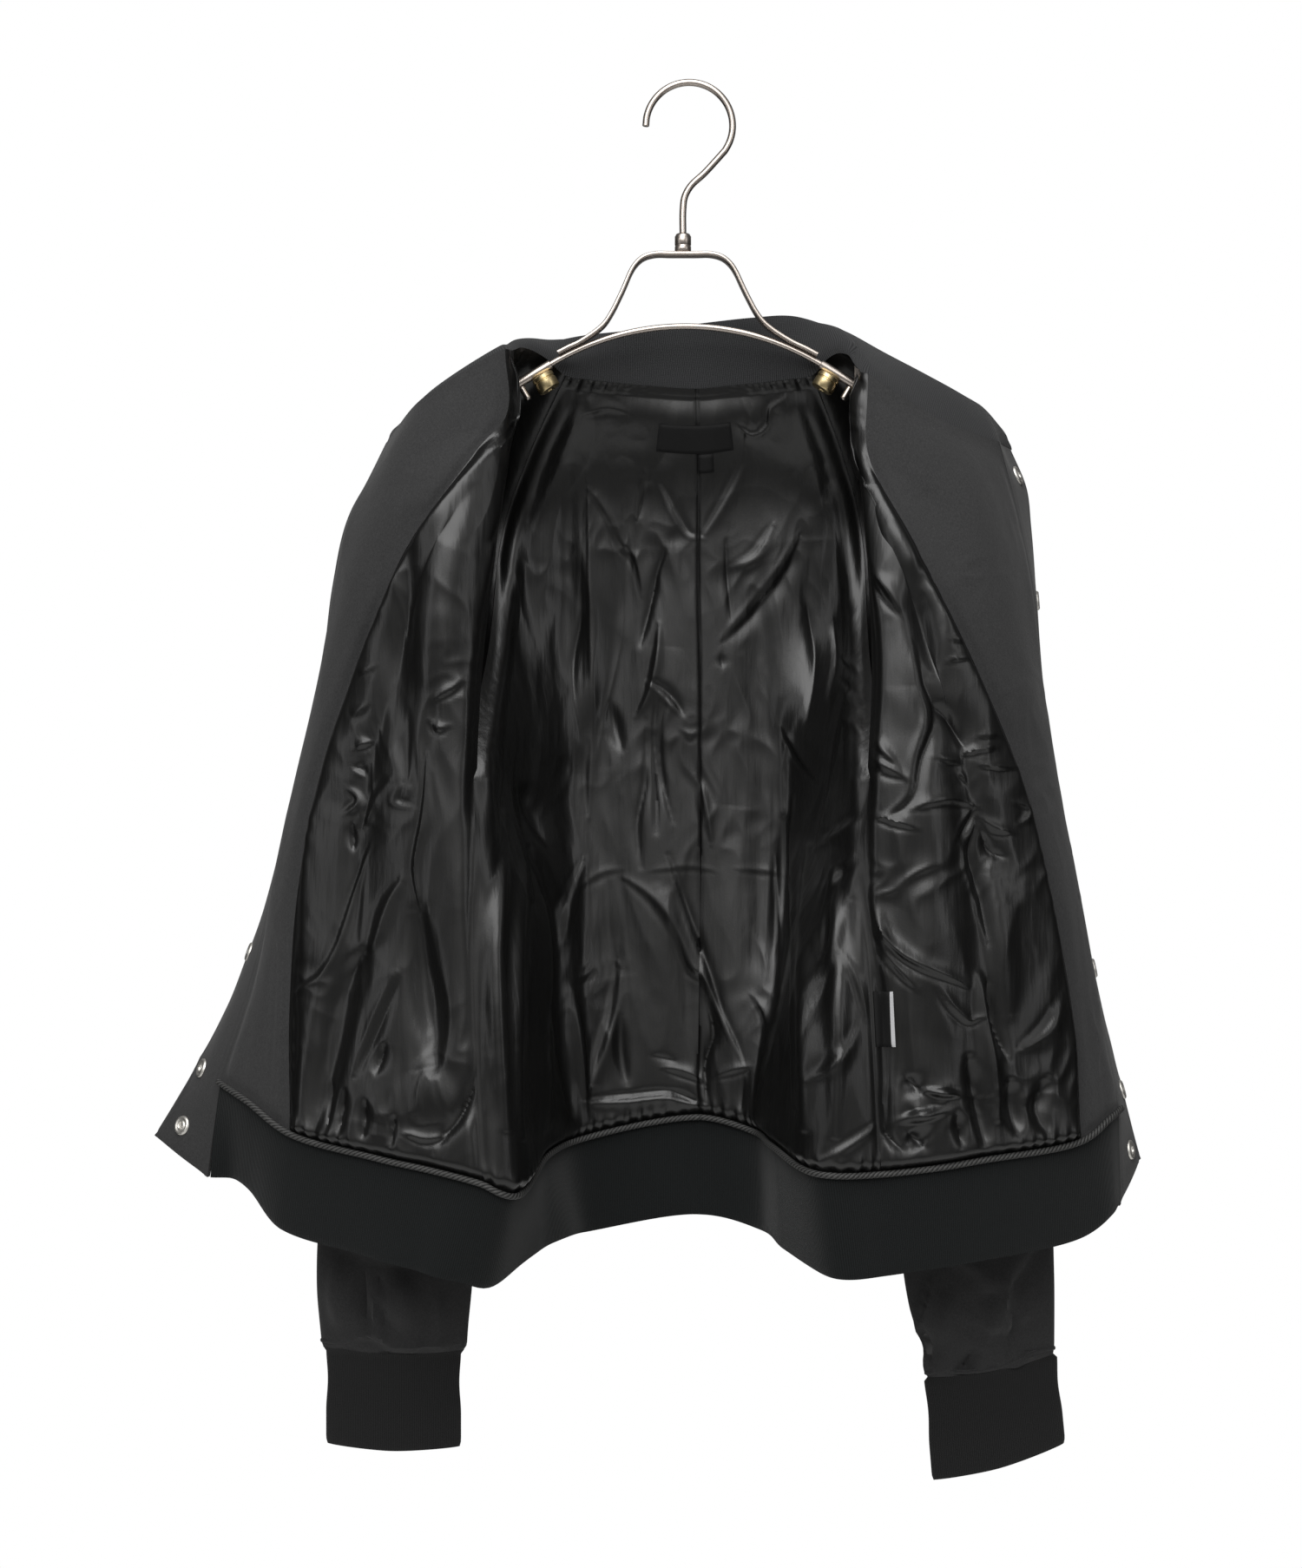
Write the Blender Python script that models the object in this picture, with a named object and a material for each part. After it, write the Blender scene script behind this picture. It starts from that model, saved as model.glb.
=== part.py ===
"""A varsity jacket hung wide open on a metal hanger, lining towards -Y.

The origin is the underside of the hook's top, where the hanger hangs on a rail. +X is to the right
as one looks into the open jacket, +Y goes back towards the wall and +Z is up. The tables are in
millimetres. _r pieces are on the wearer's right (-X), and _l pieces on the wearer's left (+X).

The cloth is one grid. Its columns run round the garment, from the right front edge over the right
front, sleeve and back to the left front edge, and its rows run down from the neck seam to the hem.
Each piece of cloth is a range of that grid given a thickness, and the lining is the same grid moved in.
"""

import math

import bpy
import numpy as np
from mathutils import Matrix, Vector

MM = 0.001

# Cloth thicknesses, from the outside in
SHELL = 1.8
PLY_GAP = 0.5
LINING = 1.0
RIB = SHELL + PLY_GAP + LINING
CUFF_WALL = 2.5
PLACKET = 3.6
LABEL = 1.0
LABEL_CLEARANCE = 0.6
SEAM_HALF_GAP = 0.2
RAGLAN_EASE = 0.5
BACK_EASE = 2.2
UNDERARM_EASE = 3.4
SLEEVE_TOP_EASE = 0.1  # a share of its first row, and so below
STRIP_TOP_EASE = 0.12

# Rows of the grid: 0 is the neck seam, UNDERARM_ROW the underarm, HEM_SEAM_ROW and CUFF_SEAM_ROW the
# seams of the knit bands. The tables' rows are these numbers too, and may lie between two of them.
UNDERARM_ROW = 11
HEM_SEAM_ROW = 22
HEM_ROW = 25
CUFF_SEAM_ROW = 28
CUFF_ROW = 31
UPPER_ROWS = tuple(range(UNDERARM_ROW))
BODY_ROWS = UPPER_ROWS + (11, 12.5, 14, 15.5, 17, 18.5, 20.25, HEM_SEAM_ROW)
SLEEVE_ROWS = (11, 13, 15, 17, 19, 21, 23, 25, 26.5, CUFF_SEAM_ROW)

# Columns of one side of the grid, as intervals between seams
FACING_COLUMNS = 4
FRONT_COLUMNS = 6
SLEEVE_COLUMNS = 14
BACK_COLUMNS = 10

CUFF_HEIGHT = 57.0
PLACKET_WIDTH = 40.0

SNAP_RADIUS = 5.75
SNAP_FLANGE = 1.5
SNAP_ROUNDING = 0.8
SNAP_SHANK_RADIUS = 1.6
SNAP_HOLE_RADIUS = 2.0
SNAP_CLEARANCE = 1.2
SNAP_SIDES = 10
SNAP_HEIGHTS = (16, 51, 124, 197, 270, 343, 416)  # up the front edge from the hem

# Fronts: a row for each section, neck to hem seam. out is the distance from X = 0, y the depth.
# edge is the placket seam, roll the facing's bulge, facing the seam of facing and lining,
# middle the front lining, fold the raglan and side seam on which the front is turned out.
FRONT_NAMES = (
    "row", "edge_z", "roll_z", "facing_z", "fold_z", "edge_out", "edge_y", "roll_out", "roll_y",
    "facing_out", "facing_y", "middle_out", "middle_y", "fold_out", "fold_y",
)
FRONT_TABLES = {
    "r": (
        (0, -207, -185, -158, -156, 172, 4, 146, -32, 106, -30, 105, -26, 103, -20),
        (2, -233, -219, -200, -194, 184, -2, 158, -36, 107, -36, 106, -31, 105, -26),
        (3, -246, -236, -221, -214, 191, -4, 163, -38, 121, -46, 113, -41, 107, -31),
        (6, -290, -284, -276, -270, 202, -3, 184, -30, 159, -45, 132, -54, 112, -42),
        (8.5, -338, -337, -336, -335, 209, 4, 202, -14, 185, -29, 150, -52, 119, -49),
        (11, -388, -391, -395, -400, 221, 10, 217, -5, 206, -21, 158, -49, 122, -52),
        (14, -440, -445, -456, -470, 234, 8, 229, -5, 219, -19, 165, -47, 121, -56),
        (18, -508, -515, -530, -550, 246, 2, 237, -14, 224, -26, 172, -50, 117, -60),
        (22, -573, -581, -597, -620, 267, 0, 248, -18, 223, -32, 172, -52, 114, -65),
    ),
    "l": (
        (0, -206, -199, -172, -164, 175, -4, 143, -24, 101, -30, 99, -25, 97, -17),
        (3, -250, -243, -224, -215, 187, 0, 154, -34, 101.5, -37, 100, -34, 99, -30),
        (6, -296, -289, -276, -270, 196, 0, 167, -34, 126, -53, 114, -53, 102, -42),
        (8.5, -345, -342, -338, -335, 201, 2, 184, -26, 157, -46, 128, -56, 104, -51),
        (11, -398, -398, -400, -400, 209, 4, 201, -15, 184, -33, 140, -56, 101, -54),
        (14, -456, -458, -465, -470, 220, 4, 213, -12, 201, -27, 147, -54, 99, -56),
        (18, -524, -529, -540, -550, 232, 3, 226, -11, 215, -24, 155, -52, 100, -60),
        (22, -588, -592, -602, -615, 244, 0, 235, -14, 218, -28, 160, -53, 103, -62),
    ),
}

# Back: rim is the raglan seam down to the underarm; ridge, valley and flank shape the side of the recess.
# ridge_dip is how far the ridge hangs below a straight line from the rim to the centre.
BACK_NAMES = (
    "row", "rim_out", "rim_y", "rim_z", "ridge_out", "ridge_y", "ridge_dip", "valley_out", "valley_y",
    "flank_out", "flank_y",
)
BACK_TABLES = {
    "r": (
        (0, 72, 10, -164, 60, 17, 0, 44, 23, 24, 27),
        (3, 96, 30, -212, 80, 40, 0, 58, 45, 30, 47),
        (6, 112, 38, -262, 96, 46, 0, 72, 50, 38, 51),
        (8.5, 117, 14, -325, 108, 34, 0, 86, 48, 48, 52),
        (11, 122, -52, -400, 114, -18, 0, 103, 18, 72, 47),
        (14, 121, -56, -470, 106, -44, 1, 93, 10, 68, 46),
        (18, 117, -60, -550, 103, -58, 4, 87, 4, 66, 44),
        (22, 114, -65, -620, 102, -62, 9, 86, 0, 66, 38),
    ),
    "l": (
        (0, 72, 10, -164, 60, 17, 0, 44, 23, 24, 27),
        (3, 92, 28, -212, 76, 39, 0, 56, 45, 30, 47),
        (6, 104, 36, -262, 90, 45, 0, 70, 49, 38, 51),
        (8.5, 105, 12, -325, 97, 33, 0, 80, 47, 44, 52),
        (11, 101, -54, -400, 95, -20, 0, 85, 17, 62, 47),
        (14, 99, -56, -470, 86, -46, 0, 72, 5, 55, 45),
        (18, 100, -60, -550, 77, -62, 1, 56, -8, 47, 37),
        (22, 103, -62, -615, 74, -66, 4, 52, -16, 43, 30),
    ),
}
CENTRE_NAMES = ("row", "x", "y", "z")
CENTRE_TABLE = (
    (0, 5, 28, -169),
    (3, 6, 47, -222),
    (6, 6, 52, -275),
    (8.5, 7, 53, -333),
    (11, 7, 53, -392),
    (14, 8, 52, -455),
    (18, 8, 49, -530),
    (22, 8, 46, -599),
)

# Sleeves: inner is the underarm seam (below the underarm), fore the side towards the viewer,
# top the shoulder line and the sleeve's outer side, aft the side towards the wall.
SLEEVE_NAMES = (
    "row", "inner_out", "inner_y", "inner_z", "fore_out", "fore_y", "fore_z",
    "top_out", "top_y", "top_z", "aft_out", "aft_y", "aft_z",
)
SLEEVE_TABLES = {
    "r": (
        (0, 0, 0, 0, 99, -11, -152, 91, -1, -151, 81, 7, -156),
        (3, 0, 0, 0, 118, -20, -196, 123, 4, -177, 113, 27, -194),
        (6, 0, 0, 0, 140, -25, -237, 152, 8, -198, 142, 42, -239),
        (8.5, 0, 0, 0, 155, -24, -296, 176, 18, -240, 162, 52, -292),
        (11, 122, -52, -400, 164, -18, -372, 192, 29, -308, 162, 57, -365),
        (14, 124, -26, -455, 168, -12, -440, 205, 34, -405, 164, 65, -440),
        (18, 124, 16, -530, 170, 6, -525, 210, 38, -515, 168, 66, -525),
        (22, 124, 34, -618, 171, 15, -618, 216, 39, -614, 172, 62, -618),
        (26, 128, 38, -700, 174, 20, -700, 220, 38, -699, 174, 57, -700),
        (28, 132, 38, -737, 174, 25, -737, 217, 38, -735, 174, 52, -737),
    ),
    "l": (
        (0, 0, 0, 0, 94, -10, -156, 87, -1, -152, 79, 7, -156),
        (3, 0, 0, 0, 113, -19, -196, 119, 4, -176, 109, 26, -194),
        (6, 0, 0, 0, 135, -24, -236, 149, 8, -197, 136, 42, -238),
        (8.5, 0, 0, 0, 149, -24, -296, 174, 18, -239, 157, 52, -292),
        (11, 101, -54, -400, 152, -20, -372, 188, 29, -308, 150, 56, -365),
        (14, 108, -26, -455, 157, -12, -440, 199, 34, -405, 154, 65, -440),
        (18, 115, 16, -532, 163, 6, -525, 205, 38, -513, 162, 66, -525),
        (22, 122, 34, -622, 169, 15, -618, 213, 39, -610, 170, 62, -618),
        (26, 130, 38, -707, 174, 20, -702, 217, 38, -693, 175, 57, -702),
        (28, 141, 38, -753, 178, 25, -747, 217, 38, -739, 179, 52, -747),
    ),
}
CUFF_NAMES = ("shift", "lean_z", "width", "depth")
CUFF_TABLE = {"r": (0, 0, 80, 24), "l": (5, 4, 79, 24)}
CUFF_TUCK = 2.0  # how far the knit pulls in just under its seam

# The placket strip: how far its middle (bend) and its free edge (out) lie outside the placket seam,
# and how far its free edge rises above it. The rest of its width goes back.
STRIP_SHARES = (0, 0.24, 0.55, 1)  # its columns, from the free edge; the snaps sit in the middle one
STRIP_NAMES = ("row", "bend", "out", "rise")
STRIP_TABLES = {
    "r": (
        (0, 1, 3, 0), (3, 1, 4, 0), (6, 0, 4, 0), (8.5, 0, 1, 0), (11, -1, 0, 0), (14, 2, 3, 0),
        (16, 5, 7.5, 1), (18, 8.5, 12, 4), (20, 10, 14, 6), (22, 12, 19, 9), (23.5, 15, 27, 14),
        (25, 18, 35.5, 20),
    ),
    "l": (
        (0, 4, 13, 0), (1.5, 8, 16, 0), (3, 7, 13, 0), (6, 4, 7, 0), (8.5, 2.5, 4.5, 0), (11, 2, 4, 0),
        (14, 3, 5, 0), (18, 4.5, 7, 1), (20, 5, 8.5, 4), (22, 6, 10, 7), (23.5, 8, 15, 13),
        (25, 10.5, 20, 21),
    ),
}

# The hem rib: where its bottom edge lies from the hem seam. at counts the pieces from the placket seam:
# 0 to 1 across the facing, 1 to 2 across the front lining, 2 to 3 across half of the back.
HEM_NAMES = ("at", "out", "y", "z")
HEM_TABLES = {
    "r": (
        (0, 10, 7, -56), (0.24, 7, 18, -52.5), (0.52, 7, 20, -52), (1, 8, 11, -56.5), (1.38, 6, 6, -56.5),
        (1.75, 11, 2, -56), (2, 15, 4, -55), (2.17, 6, 20, -52), (2.33, -2, 15, -53), (2.5, -9, 8, -54),
        (2.67, -4, 2, -57), (3, 0, 0, -59),
    ),
    "l": (
        (0, 1.5, 2, -57), (0.5, 5, 4, -56), (1, 4, 6, -56), (1.4, 2, 3, -57), (2, 6, 2, -57),
        (2.25, 8, 0, -59), (2.5, 4, 2, -60), (2.67, 2, 2, -59), (3, 0, 0, -59),
    ),
}

# The collar's free edge, at stations round the neck from one front edge to the other, and how far
# the knit bulges upward between the neck seam and that edge
COLLAR_NAMES = ("station", "x", "y", "z", "bulge")
COLLAR_TABLE = (
    (0.00, -175, 42, -201, 0.5),
    (0.04, -172, 28, -197, 2),
    (0.08, -163, 16, -195, 3),
    (0.12, -149, 8, -190, 4),
    (0.20, -118, 4, -171.5, 4),
    (0.26, -104, 12, -157, 2),
    (0.30, -96, 22, -149, 2),
    (0.34, -79, 28, -145, 2),
    (0.38, -62, 28, -141, 1),
    (0.44, -35, 29, -137, 1),
    (0.50, 2, 30, -133, 1),
    (0.57, 38, 24, -130, 1),
    (0.63, 59, 21, -130, 1),
    (0.69, 79, 24, -136, 2),
    (0.74, 92, 26, -140.5, 3),
    (0.79, 112, 14, -154, 3),
    (0.84, 133, 3, -167, 3),
    (0.90, 156, 6, -179, 3),
    (0.94, 171, 18, -186, 2),
    (0.97, 183, 27, -196, 1),
    (1.00, 187, 31, -201, 0),
)
COLLAR_COLUMNS = 44
COLLAR_ROWS = 3
COLLAR_LIFT = 1.0

# Soft folds of the cloth: side, piece, where its line crosses the piece (a share of the piece's width,
# from its outer seam), first and last row, half width (a share too) and depth, inwards if positive
FOLD_NAMES = ("side", "piece", "place", "top_row", "bottom_row", "half_width", "depth")
FOLD_TABLE = (
    ("r", "front", 0.40, 4, 21, 0.17, -6.0),
    ("r", "front", 0.74, 8, 23, 0.14, -3.0),
    ("r", "back", 0.66, 3, 17, 0.11, -5.0),
    ("r", "back", 0.86, 8, 21, 0.08, 3.0),
    ("l", "front", 0.45, 4, 20, 0.16, -5.0),
    ("l", "front", 0.72, 9, 23, 0.13, 4.0),
    ("l", "back", 0.68, 6, 20, 0.11, -4.0),
    ("l", "back", 0.88, 12, 22, 0.08, 2.5),
)

# Hanger
HOOK_RADIUS = 25.0
HOOK_WIRE = 4.0
HOOK_END_ANGLE = -48.0
SHANK_X = -3.6
SHANK_TOP_Z = -66.0
FERRULE_TOP_Z = -85.0
FERRULE_RADIUS = 4.7
BOW_TOP_Z = -96.0
BOW_THICKNESS = 2.4
BOW_DEPTH = 9.0
RAIL_TOP_Z = -138.5
RAIL_X = -2.0
RAIL_BEND_RADIUS = 150.0
RAIL_SLOPE = 31.0
RAIL_WIRE = 3.6
ARM_TUBE = 5.4
ARM_START = 78.0
ARM_END = 132.0
NUT_RADIUS = 6.6
NUT_HEIGHT = 9.5
NUT_SIDES = 10
NUT_AT = 84.5
STUD_AT = 96.0
STUD_RADIUS = 1.9
STUD_HEIGHT = 8.0
HANGER_CLEARANCE = 0.3

CLOTH_BLACK = (0.020, 0.020, 0.021)
RIB_BLACK = (0.011, 0.014, 0.014)
LINING_BLACK = (0.018, 0.018, 0.018)
STEEL = (0.50, 0.47, 0.44)
BRASS = (0.62, 0.50, 0.26)

SIDES = {"r": -1.0, "l": 1.0}


# ---------------------------------------------------------------- curves

def between_rows(table, names, row):
    """The named values at a row, on a smooth curve through the table's rows."""
    data = np.array(table, float)
    at, values = data[:, 0], data[:, 1:]
    row = min(max(row, at[0]), at[-1])
    slopes = np.gradient(values, at, axis=0)
    i = int(np.clip(np.searchsorted(at, row, side="right") - 1, 0, len(at) - 2))
    span = at[i + 1] - at[i]
    t = (row - at[i]) / span
    found = (
        values[i] * (2 * t**3 - 3 * t**2 + 1)
        + slopes[i] * span * (t**3 - 2 * t**2 + t)
        + values[i + 1] * (3 * t**2 - 2 * t**3)
        + slopes[i + 1] * span * (t**3 - t**2)
    )
    return dict(zip(names[1:], found))


def smooth_line(points, closed=False, steps=14):
    """A centripetal Catmull-Rom line through the points, and the index of each point on it."""
    p = np.array(points, float)
    if closed:
        p = np.vstack([p[-1], p, p[0], p[1]])
    else:
        p = np.vstack([2 * p[0] - p[1], p, 2 * p[-1] - p[-2]])
    line, marks = [], []
    for i in range(1, len(p) - 2):
        a, b, c, d = p[i - 1 : i + 3]
        k1 = max(np.linalg.norm(b - a), 1e-6) ** 0.5
        k2 = max(np.linalg.norm(c - b), 1e-6) ** 0.5
        k3 = max(np.linalg.norm(d - c), 1e-6) ** 0.5
        m1 = k2 * ((b - a) / k1 - (c - a) / (k1 + k2)) + (c - b)
        m2 = k2 * ((d - c) / k3 - (d - b) / (k2 + k3)) + (c - b)
        marks.append(len(line))
        for t in np.arange(steps) / steps:
            line.append(
                b * (2 * t**3 - 3 * t**2 + 1)
                + m1 * (t**3 - 2 * t**2 + t)
                + c * (3 * t**2 - 2 * t**3)
                + m2 * (t**3 - t**2)
            )
    marks.append(len(line))
    line.append(p[-2])
    return np.array(line), marks


def respaced(line, shares):
    """The line's points at shares of its length, or at even intervals if shares is their number."""
    steps = np.linalg.norm(np.diff(line, axis=0), axis=1)
    along = np.concatenate([[0], np.cumsum(steps)])
    if isinstance(shares, int):
        shares = np.linspace(0, 1, shares + 1)
    at = np.array(shares) * along[-1]
    return np.stack([np.interp(at, along, line[:, k]) for k in range(3)], axis=1)


# ---------------------------------------------------------------- the garment's sections

def front_points(side, row):
    """Placket edge, placket seam, facing and fold points of one front at a row above the hem seam."""
    sign = SIDES[side]
    f = between_rows(FRONT_TABLES[side], FRONT_NAMES, row)
    share = (f["facing_out"] - f["middle_out"]) / (f["facing_out"] - f["fold_out"])
    middle_z = f["facing_z"] + share * (f["fold_z"] - f["facing_z"])
    return {
        "seam": (sign * f["edge_out"], f["edge_y"], f["edge_z"]),
        "roll": (sign * f["roll_out"], f["roll_y"], f["roll_z"]),
        "facing": (sign * f["facing_out"], f["facing_y"], f["facing_z"]),
        "middle": (sign * f["middle_out"], f["middle_y"], middle_z),
        "fold": (sign * f["fold_out"], f["fold_y"], f["fold_z"]),
    }


def back_points(side, row):
    """Rim, ridge, valley and flank points of one half of the back at a row."""
    sign = SIDES[side]
    b = between_rows(BACK_TABLES[side], BACK_NAMES, row)
    centre_z = between_rows(CENTRE_TABLE, CENTRE_NAMES, row)["z"]

    def at(name):
        share = 1 - b[name + "_out"] / b["rim_out"]
        z = b["rim_z"] + share * (centre_z - b["rim_z"])
        return (sign * b[name + "_out"], b[name + "_y"], z)

    x, y, z = at("ridge")
    return {
        "rim": (sign * b["rim_out"], b["rim_y"], b["rim_z"]),
        "ridge": (x, y, z - b["ridge_dip"]),
        "valley": at("valley"),
        "flank": at("flank"),
    }


def centre_point(row):
    c = between_rows(CENTRE_TABLE, CENTRE_NAMES, row)
    return (c["x"], c["y"], c["z"])


def sleeve_points(side, row):
    """The sleeve's own points at a row. Above the underarm it has no inner point of its own."""
    sign = SIDES[side]
    table = SLEEVE_TABLES[side]
    s = between_rows(table, SLEEVE_NAMES, row)
    lower = [r for r in table if r[0] >= UNDERARM_ROW]
    inner = between_rows(lower, SLEEVE_NAMES, max(row, UNDERARM_ROW))
    found = {k: (sign * s[k + "_out"], s[k + "_y"], s[k + "_z"]) for k in ("fore", "top", "aft")}
    found["inner"] = (sign * inner["inner_out"], inner["inner_y"], inner["inner_z"])
    return found


def strip_points(side, row, seam):
    """Middle and free edge of the placket strip, from its seam."""
    s = between_rows(STRIP_TABLES[side], STRIP_NAMES, row)
    points, at = [], np.array(seam)
    for out in (s["bend"], s["out"] - s["bend"]):
        back = math.sqrt((PLACKET_WIDTH / 2) ** 2 - out**2)
        at = at + (SIDES[side] * out, back, s["rise"] / 2)
        points.append(at)
    return points


def half_section(side, row):
    """One side's pieces at a row, from the free edge to the centre back, and its control points."""
    front, back, sleeve = front_points(side, row), back_points(side, row), sleeve_points(side, row)
    names = ["seam", "roll", "facing", "middle", "fold"]
    points = [front[n] for n in names]
    if row < UNDERARM_ROW:
        names += ["fore", "top", "aft", "rim"]
        points += [sleeve["fore"], sleeve["top"], sleeve["aft"], back["rim"]]
    names += ["ridge", "valley", "flank"]
    points += [back[n] for n in names[-3:]]
    return names, points


def section(row):
    """The pieces of a row above the hem seam: {(side, piece): points from the edge to the centre}."""
    names_r, points_r = half_section("r", row)
    names_l, points_l = half_section("l", row)
    names = names_r + ["centre"] + names_l[::-1]
    line, marks = smooth_line(points_r + [centre_point(row)] + points_l[::-1])
    found = {}
    for side, ordered in (("r", names), ("l", names[::-1])):
        whole = line if side == "r" else line[::-1]
        at = marks if side == "r" else [len(line) - 1 - m for m in marks[::-1]]
        place = dict(zip(ordered[: len(names_r) + 1], at))
        rim = "rim" if row < UNDERARM_ROW else "fold"
        spans = {
            "facing": ("seam", "facing", FACING_COLUMNS),
            "front": ("facing", "fold", FRONT_COLUMNS),
            "back": (rim, "centre", BACK_COLUMNS),
        }
        if row < UNDERARM_ROW:
            spans["sleeve"] = ("fold", "rim", SLEEVE_COLUMNS)
        for piece, (first, last, count) in spans.items():
            part = whole[place[first] : place[last] + 1]
            found[side, piece] = respaced(part, count)
    return found


def sleeve_ring(side, row):
    """A row of the sleeve below the underarm, from the underarm seam round and back to it."""
    s = sleeve_points(side, row)
    line, _ = smooth_line([s["inner"], s["fore"], s["top"], s["aft"]], closed=True)
    return respaced(line, SLEEVE_COLUMNS)


def cuff_ring(side, row):
    """A row of the cuff: a flat oval under the sleeve's end, in the sleeve's columns."""
    shift, lean, width, depth = CUFF_TABLE[side]
    top = sleeve_ring(side, CUFF_SEAM_ROW)
    share = (row - CUFF_SEAM_ROW) / (CUFF_ROW - CUFF_SEAM_ROW)
    middle = (top.max(0) + top.min(0)) / 2
    size = top.max(0) - top.min(0)
    narrow = CUFF_TUCK * math.sin(math.pi * min(1.0, share * 1.5)) ** 2
    ring = (top - middle) * ((width - narrow) / size[0], (depth - narrow) / size[1], 1.0)
    if share == 0:
        ring = top - middle
    drop = np.array((SIDES[side] * shift * share, 0.0, -CUFF_HEIGHT * share))
    ring[:, 2] += lean * share * ring[:, 0] * SIDES[side] / (width / 2)
    return middle + ring + drop


def fold_push(side, piece, row, count):
    """How far the soft folds push each column of a piece inwards at a row. Its seams stay put."""
    push = np.zeros(count)
    for fold in FOLD_TABLE:
        f = dict(zip(FOLD_NAMES, fold))
        if (f["side"], f["piece"]) != (side, piece) or not f["top_row"] < row < f["bottom_row"]:
            continue
        fade = math.sin(math.pi * (row - f["top_row"]) / (f["bottom_row"] - f["top_row"])) ** 0.8
        away = (np.linspace(0, 1, count) - f["place"]) / f["half_width"]
        push += f["depth"] * fade * np.exp(-(away**2))
    push[[0, -1]] = 0
    return push


def hem_rib(side, seam_line):
    """The hem rib's points, from the hem seam down."""
    at = [np.arange(n) / n for n in (FACING_COLUMNS, FRONT_COLUMNS, BACK_COLUMNS)]
    at = np.concatenate([at[0], 1 + at[1], 2 + at[2], [3]])
    rows = []
    for share in np.linspace(0, 1, HEM_ROW - HEM_SEAM_ROW + 1):
        row = []
        for place, point in zip(at, seam_line):
            h = between_rows(HEM_TABLES[side], HEM_NAMES, place)
            drop = np.array((SIDES[side] * h["out"] * share, h["y"] * share**1.3, h["z"] * share))
            row.append(point + drop)
        rows.append(row)
    return np.array(rows)


# ---------------------------------------------------------------- the grid

def garment_grid():
    """{(side, piece): rows x columns of points of the cloth's outer face}, from the outer edge inwards."""
    sections = [section(row) for row in BODY_ROWS]
    grid = {}
    for side in SIDES:
        for piece in ("facing", "front", "back"):
            grid[side, piece] = np.array([found[side, piece] for found in sections])
        upper = [found[side, "sleeve"] for found in sections[: len(UPPER_ROWS)]]
        grid[side, "sleeve"] = np.array(upper + [sleeve_ring(side, row) for row in SLEEVE_ROWS])
    push_folds(grid)
    for side in SIDES:
        rows = range(CUFF_SEAM_ROW, CUFF_ROW + 1)
        grid[side, "cuff"] = np.array([cuff_ring(side, row) for row in rows])
        pieces = [grid[side, p][-1:] for p in ("facing", "front", "back")]
        grid[side, "hem"] = hem_rib(side, joined(pieces)[0])
        grid[side, "placket"] = placket_grid(side, grid[side, "facing"], grid[side, "hem"])
    return grid


def push_folds(grid):
    """Moves the points of the fronts and back along their normals, for the soft folds."""
    for (side, piece), points in grid.items():
        if piece in ("front", "back"):
            normals = outward_normals(side, points)
            for number, row in enumerate(BODY_ROWS):
                push = fold_push(side, piece, row, points.shape[1])
                points[number] -= normals[number] * push[:, None]


def placket_grid(side, facing, hem):
    """The placket strip from its free edge to its seam, down to the bottom of the hem."""
    seam = joined([facing[:, :1], hem[:, :1]], axis=0)[:, 0]
    rows = BODY_ROWS + tuple(range(HEM_SEAM_ROW + 1, HEM_ROW + 1))
    strip = []
    for row, point in zip(rows, seam):
        middle, edge = strip_points(side, row, point)
        line, _ = smooth_line([edge, middle, point])
        strip.append(respaced(line, STRIP_SHARES))
    return np.array(strip)


def grid_normals(points):
    """Unit normals of one range of the grid: across x down."""
    across = np.gradient(points, axis=1)
    down = np.gradient(points, axis=0)
    normal = np.cross(across, down)
    return normal / np.maximum(np.linalg.norm(normal, axis=2, keepdims=True), 1e-9)


def outward_normals(side, points):
    """Unit normals pointing away from the inside of the jacket. The columns run in opposite ways."""
    return grid_normals(points) * (1.0 if side == "r" else -1.0)


def key_of(point):
    return tuple(np.round(point, 2))


def welded_normals(grid):
    """The outward normals of every range, shared along the seams, so that neighbours stay in line."""
    total = {}
    for (side, _), points in grid.items():
        sign = 1.0 if side == "r" else -1.0
        across, down = np.diff(points, axis=1), np.diff(points, axis=0)
        face = np.cross(across[:-1] + across[1:], down[:, :-1] + down[:, 1:]) * sign
        for r in range(face.shape[0]):
            for c in range(face.shape[1]):
                for corner in (points[r, c], points[r, c + 1], points[r + 1, c], points[r + 1, c + 1]):
                    key = key_of(corner)
                    total[key] = total.get(key, 0) + face[r, c]
    found = {}
    for name, points in grid.items():
        normal = np.array([[total[key_of(p)] for p in row] for row in points])
        found[name] = normal / np.maximum(np.linalg.norm(normal, axis=2, keepdims=True), 1e-9)
    return found


def joined(parts, axis=1):
    """Ranges that meet along a column (or row), as one range without the repeated line."""
    whole = parts[0]
    for part in parts[1:]:
        rest = part[:, 1:] if axis == 1 else part[1:]
        whole = np.concatenate([whole, rest], axis=axis)
    return whole


def trimmed(points, normals, edges):
    """Draws the named edges of a range in by half a seam gap, square to their normals."""
    p = points.copy()
    for edge in edges:
        if edge == "first":
            a, b, n = p[:, 0], p[:, 1], normals[:, 0]
        elif edge == "last":
            a, b, n = p[:, -1], p[:, -2], normals[:, -1]
        elif edge == "top":
            a, b, n = p[0], p[1], normals[0]
        else:
            a, b, n = p[-1], p[-2], normals[-1]
        along = np.gradient(a, axis=0)
        along /= np.linalg.norm(along, axis=1, keepdims=True)
        way = b - a
        way = way - n * np.sum(way * n, axis=1, keepdims=True)
        way = way - along * np.sum(way * along, axis=1, keepdims=True)
        a += way / np.linalg.norm(way, axis=1, keepdims=True) * SEAM_HALF_GAP
    return p


# ---------------------------------------------------------------- making solids

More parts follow.
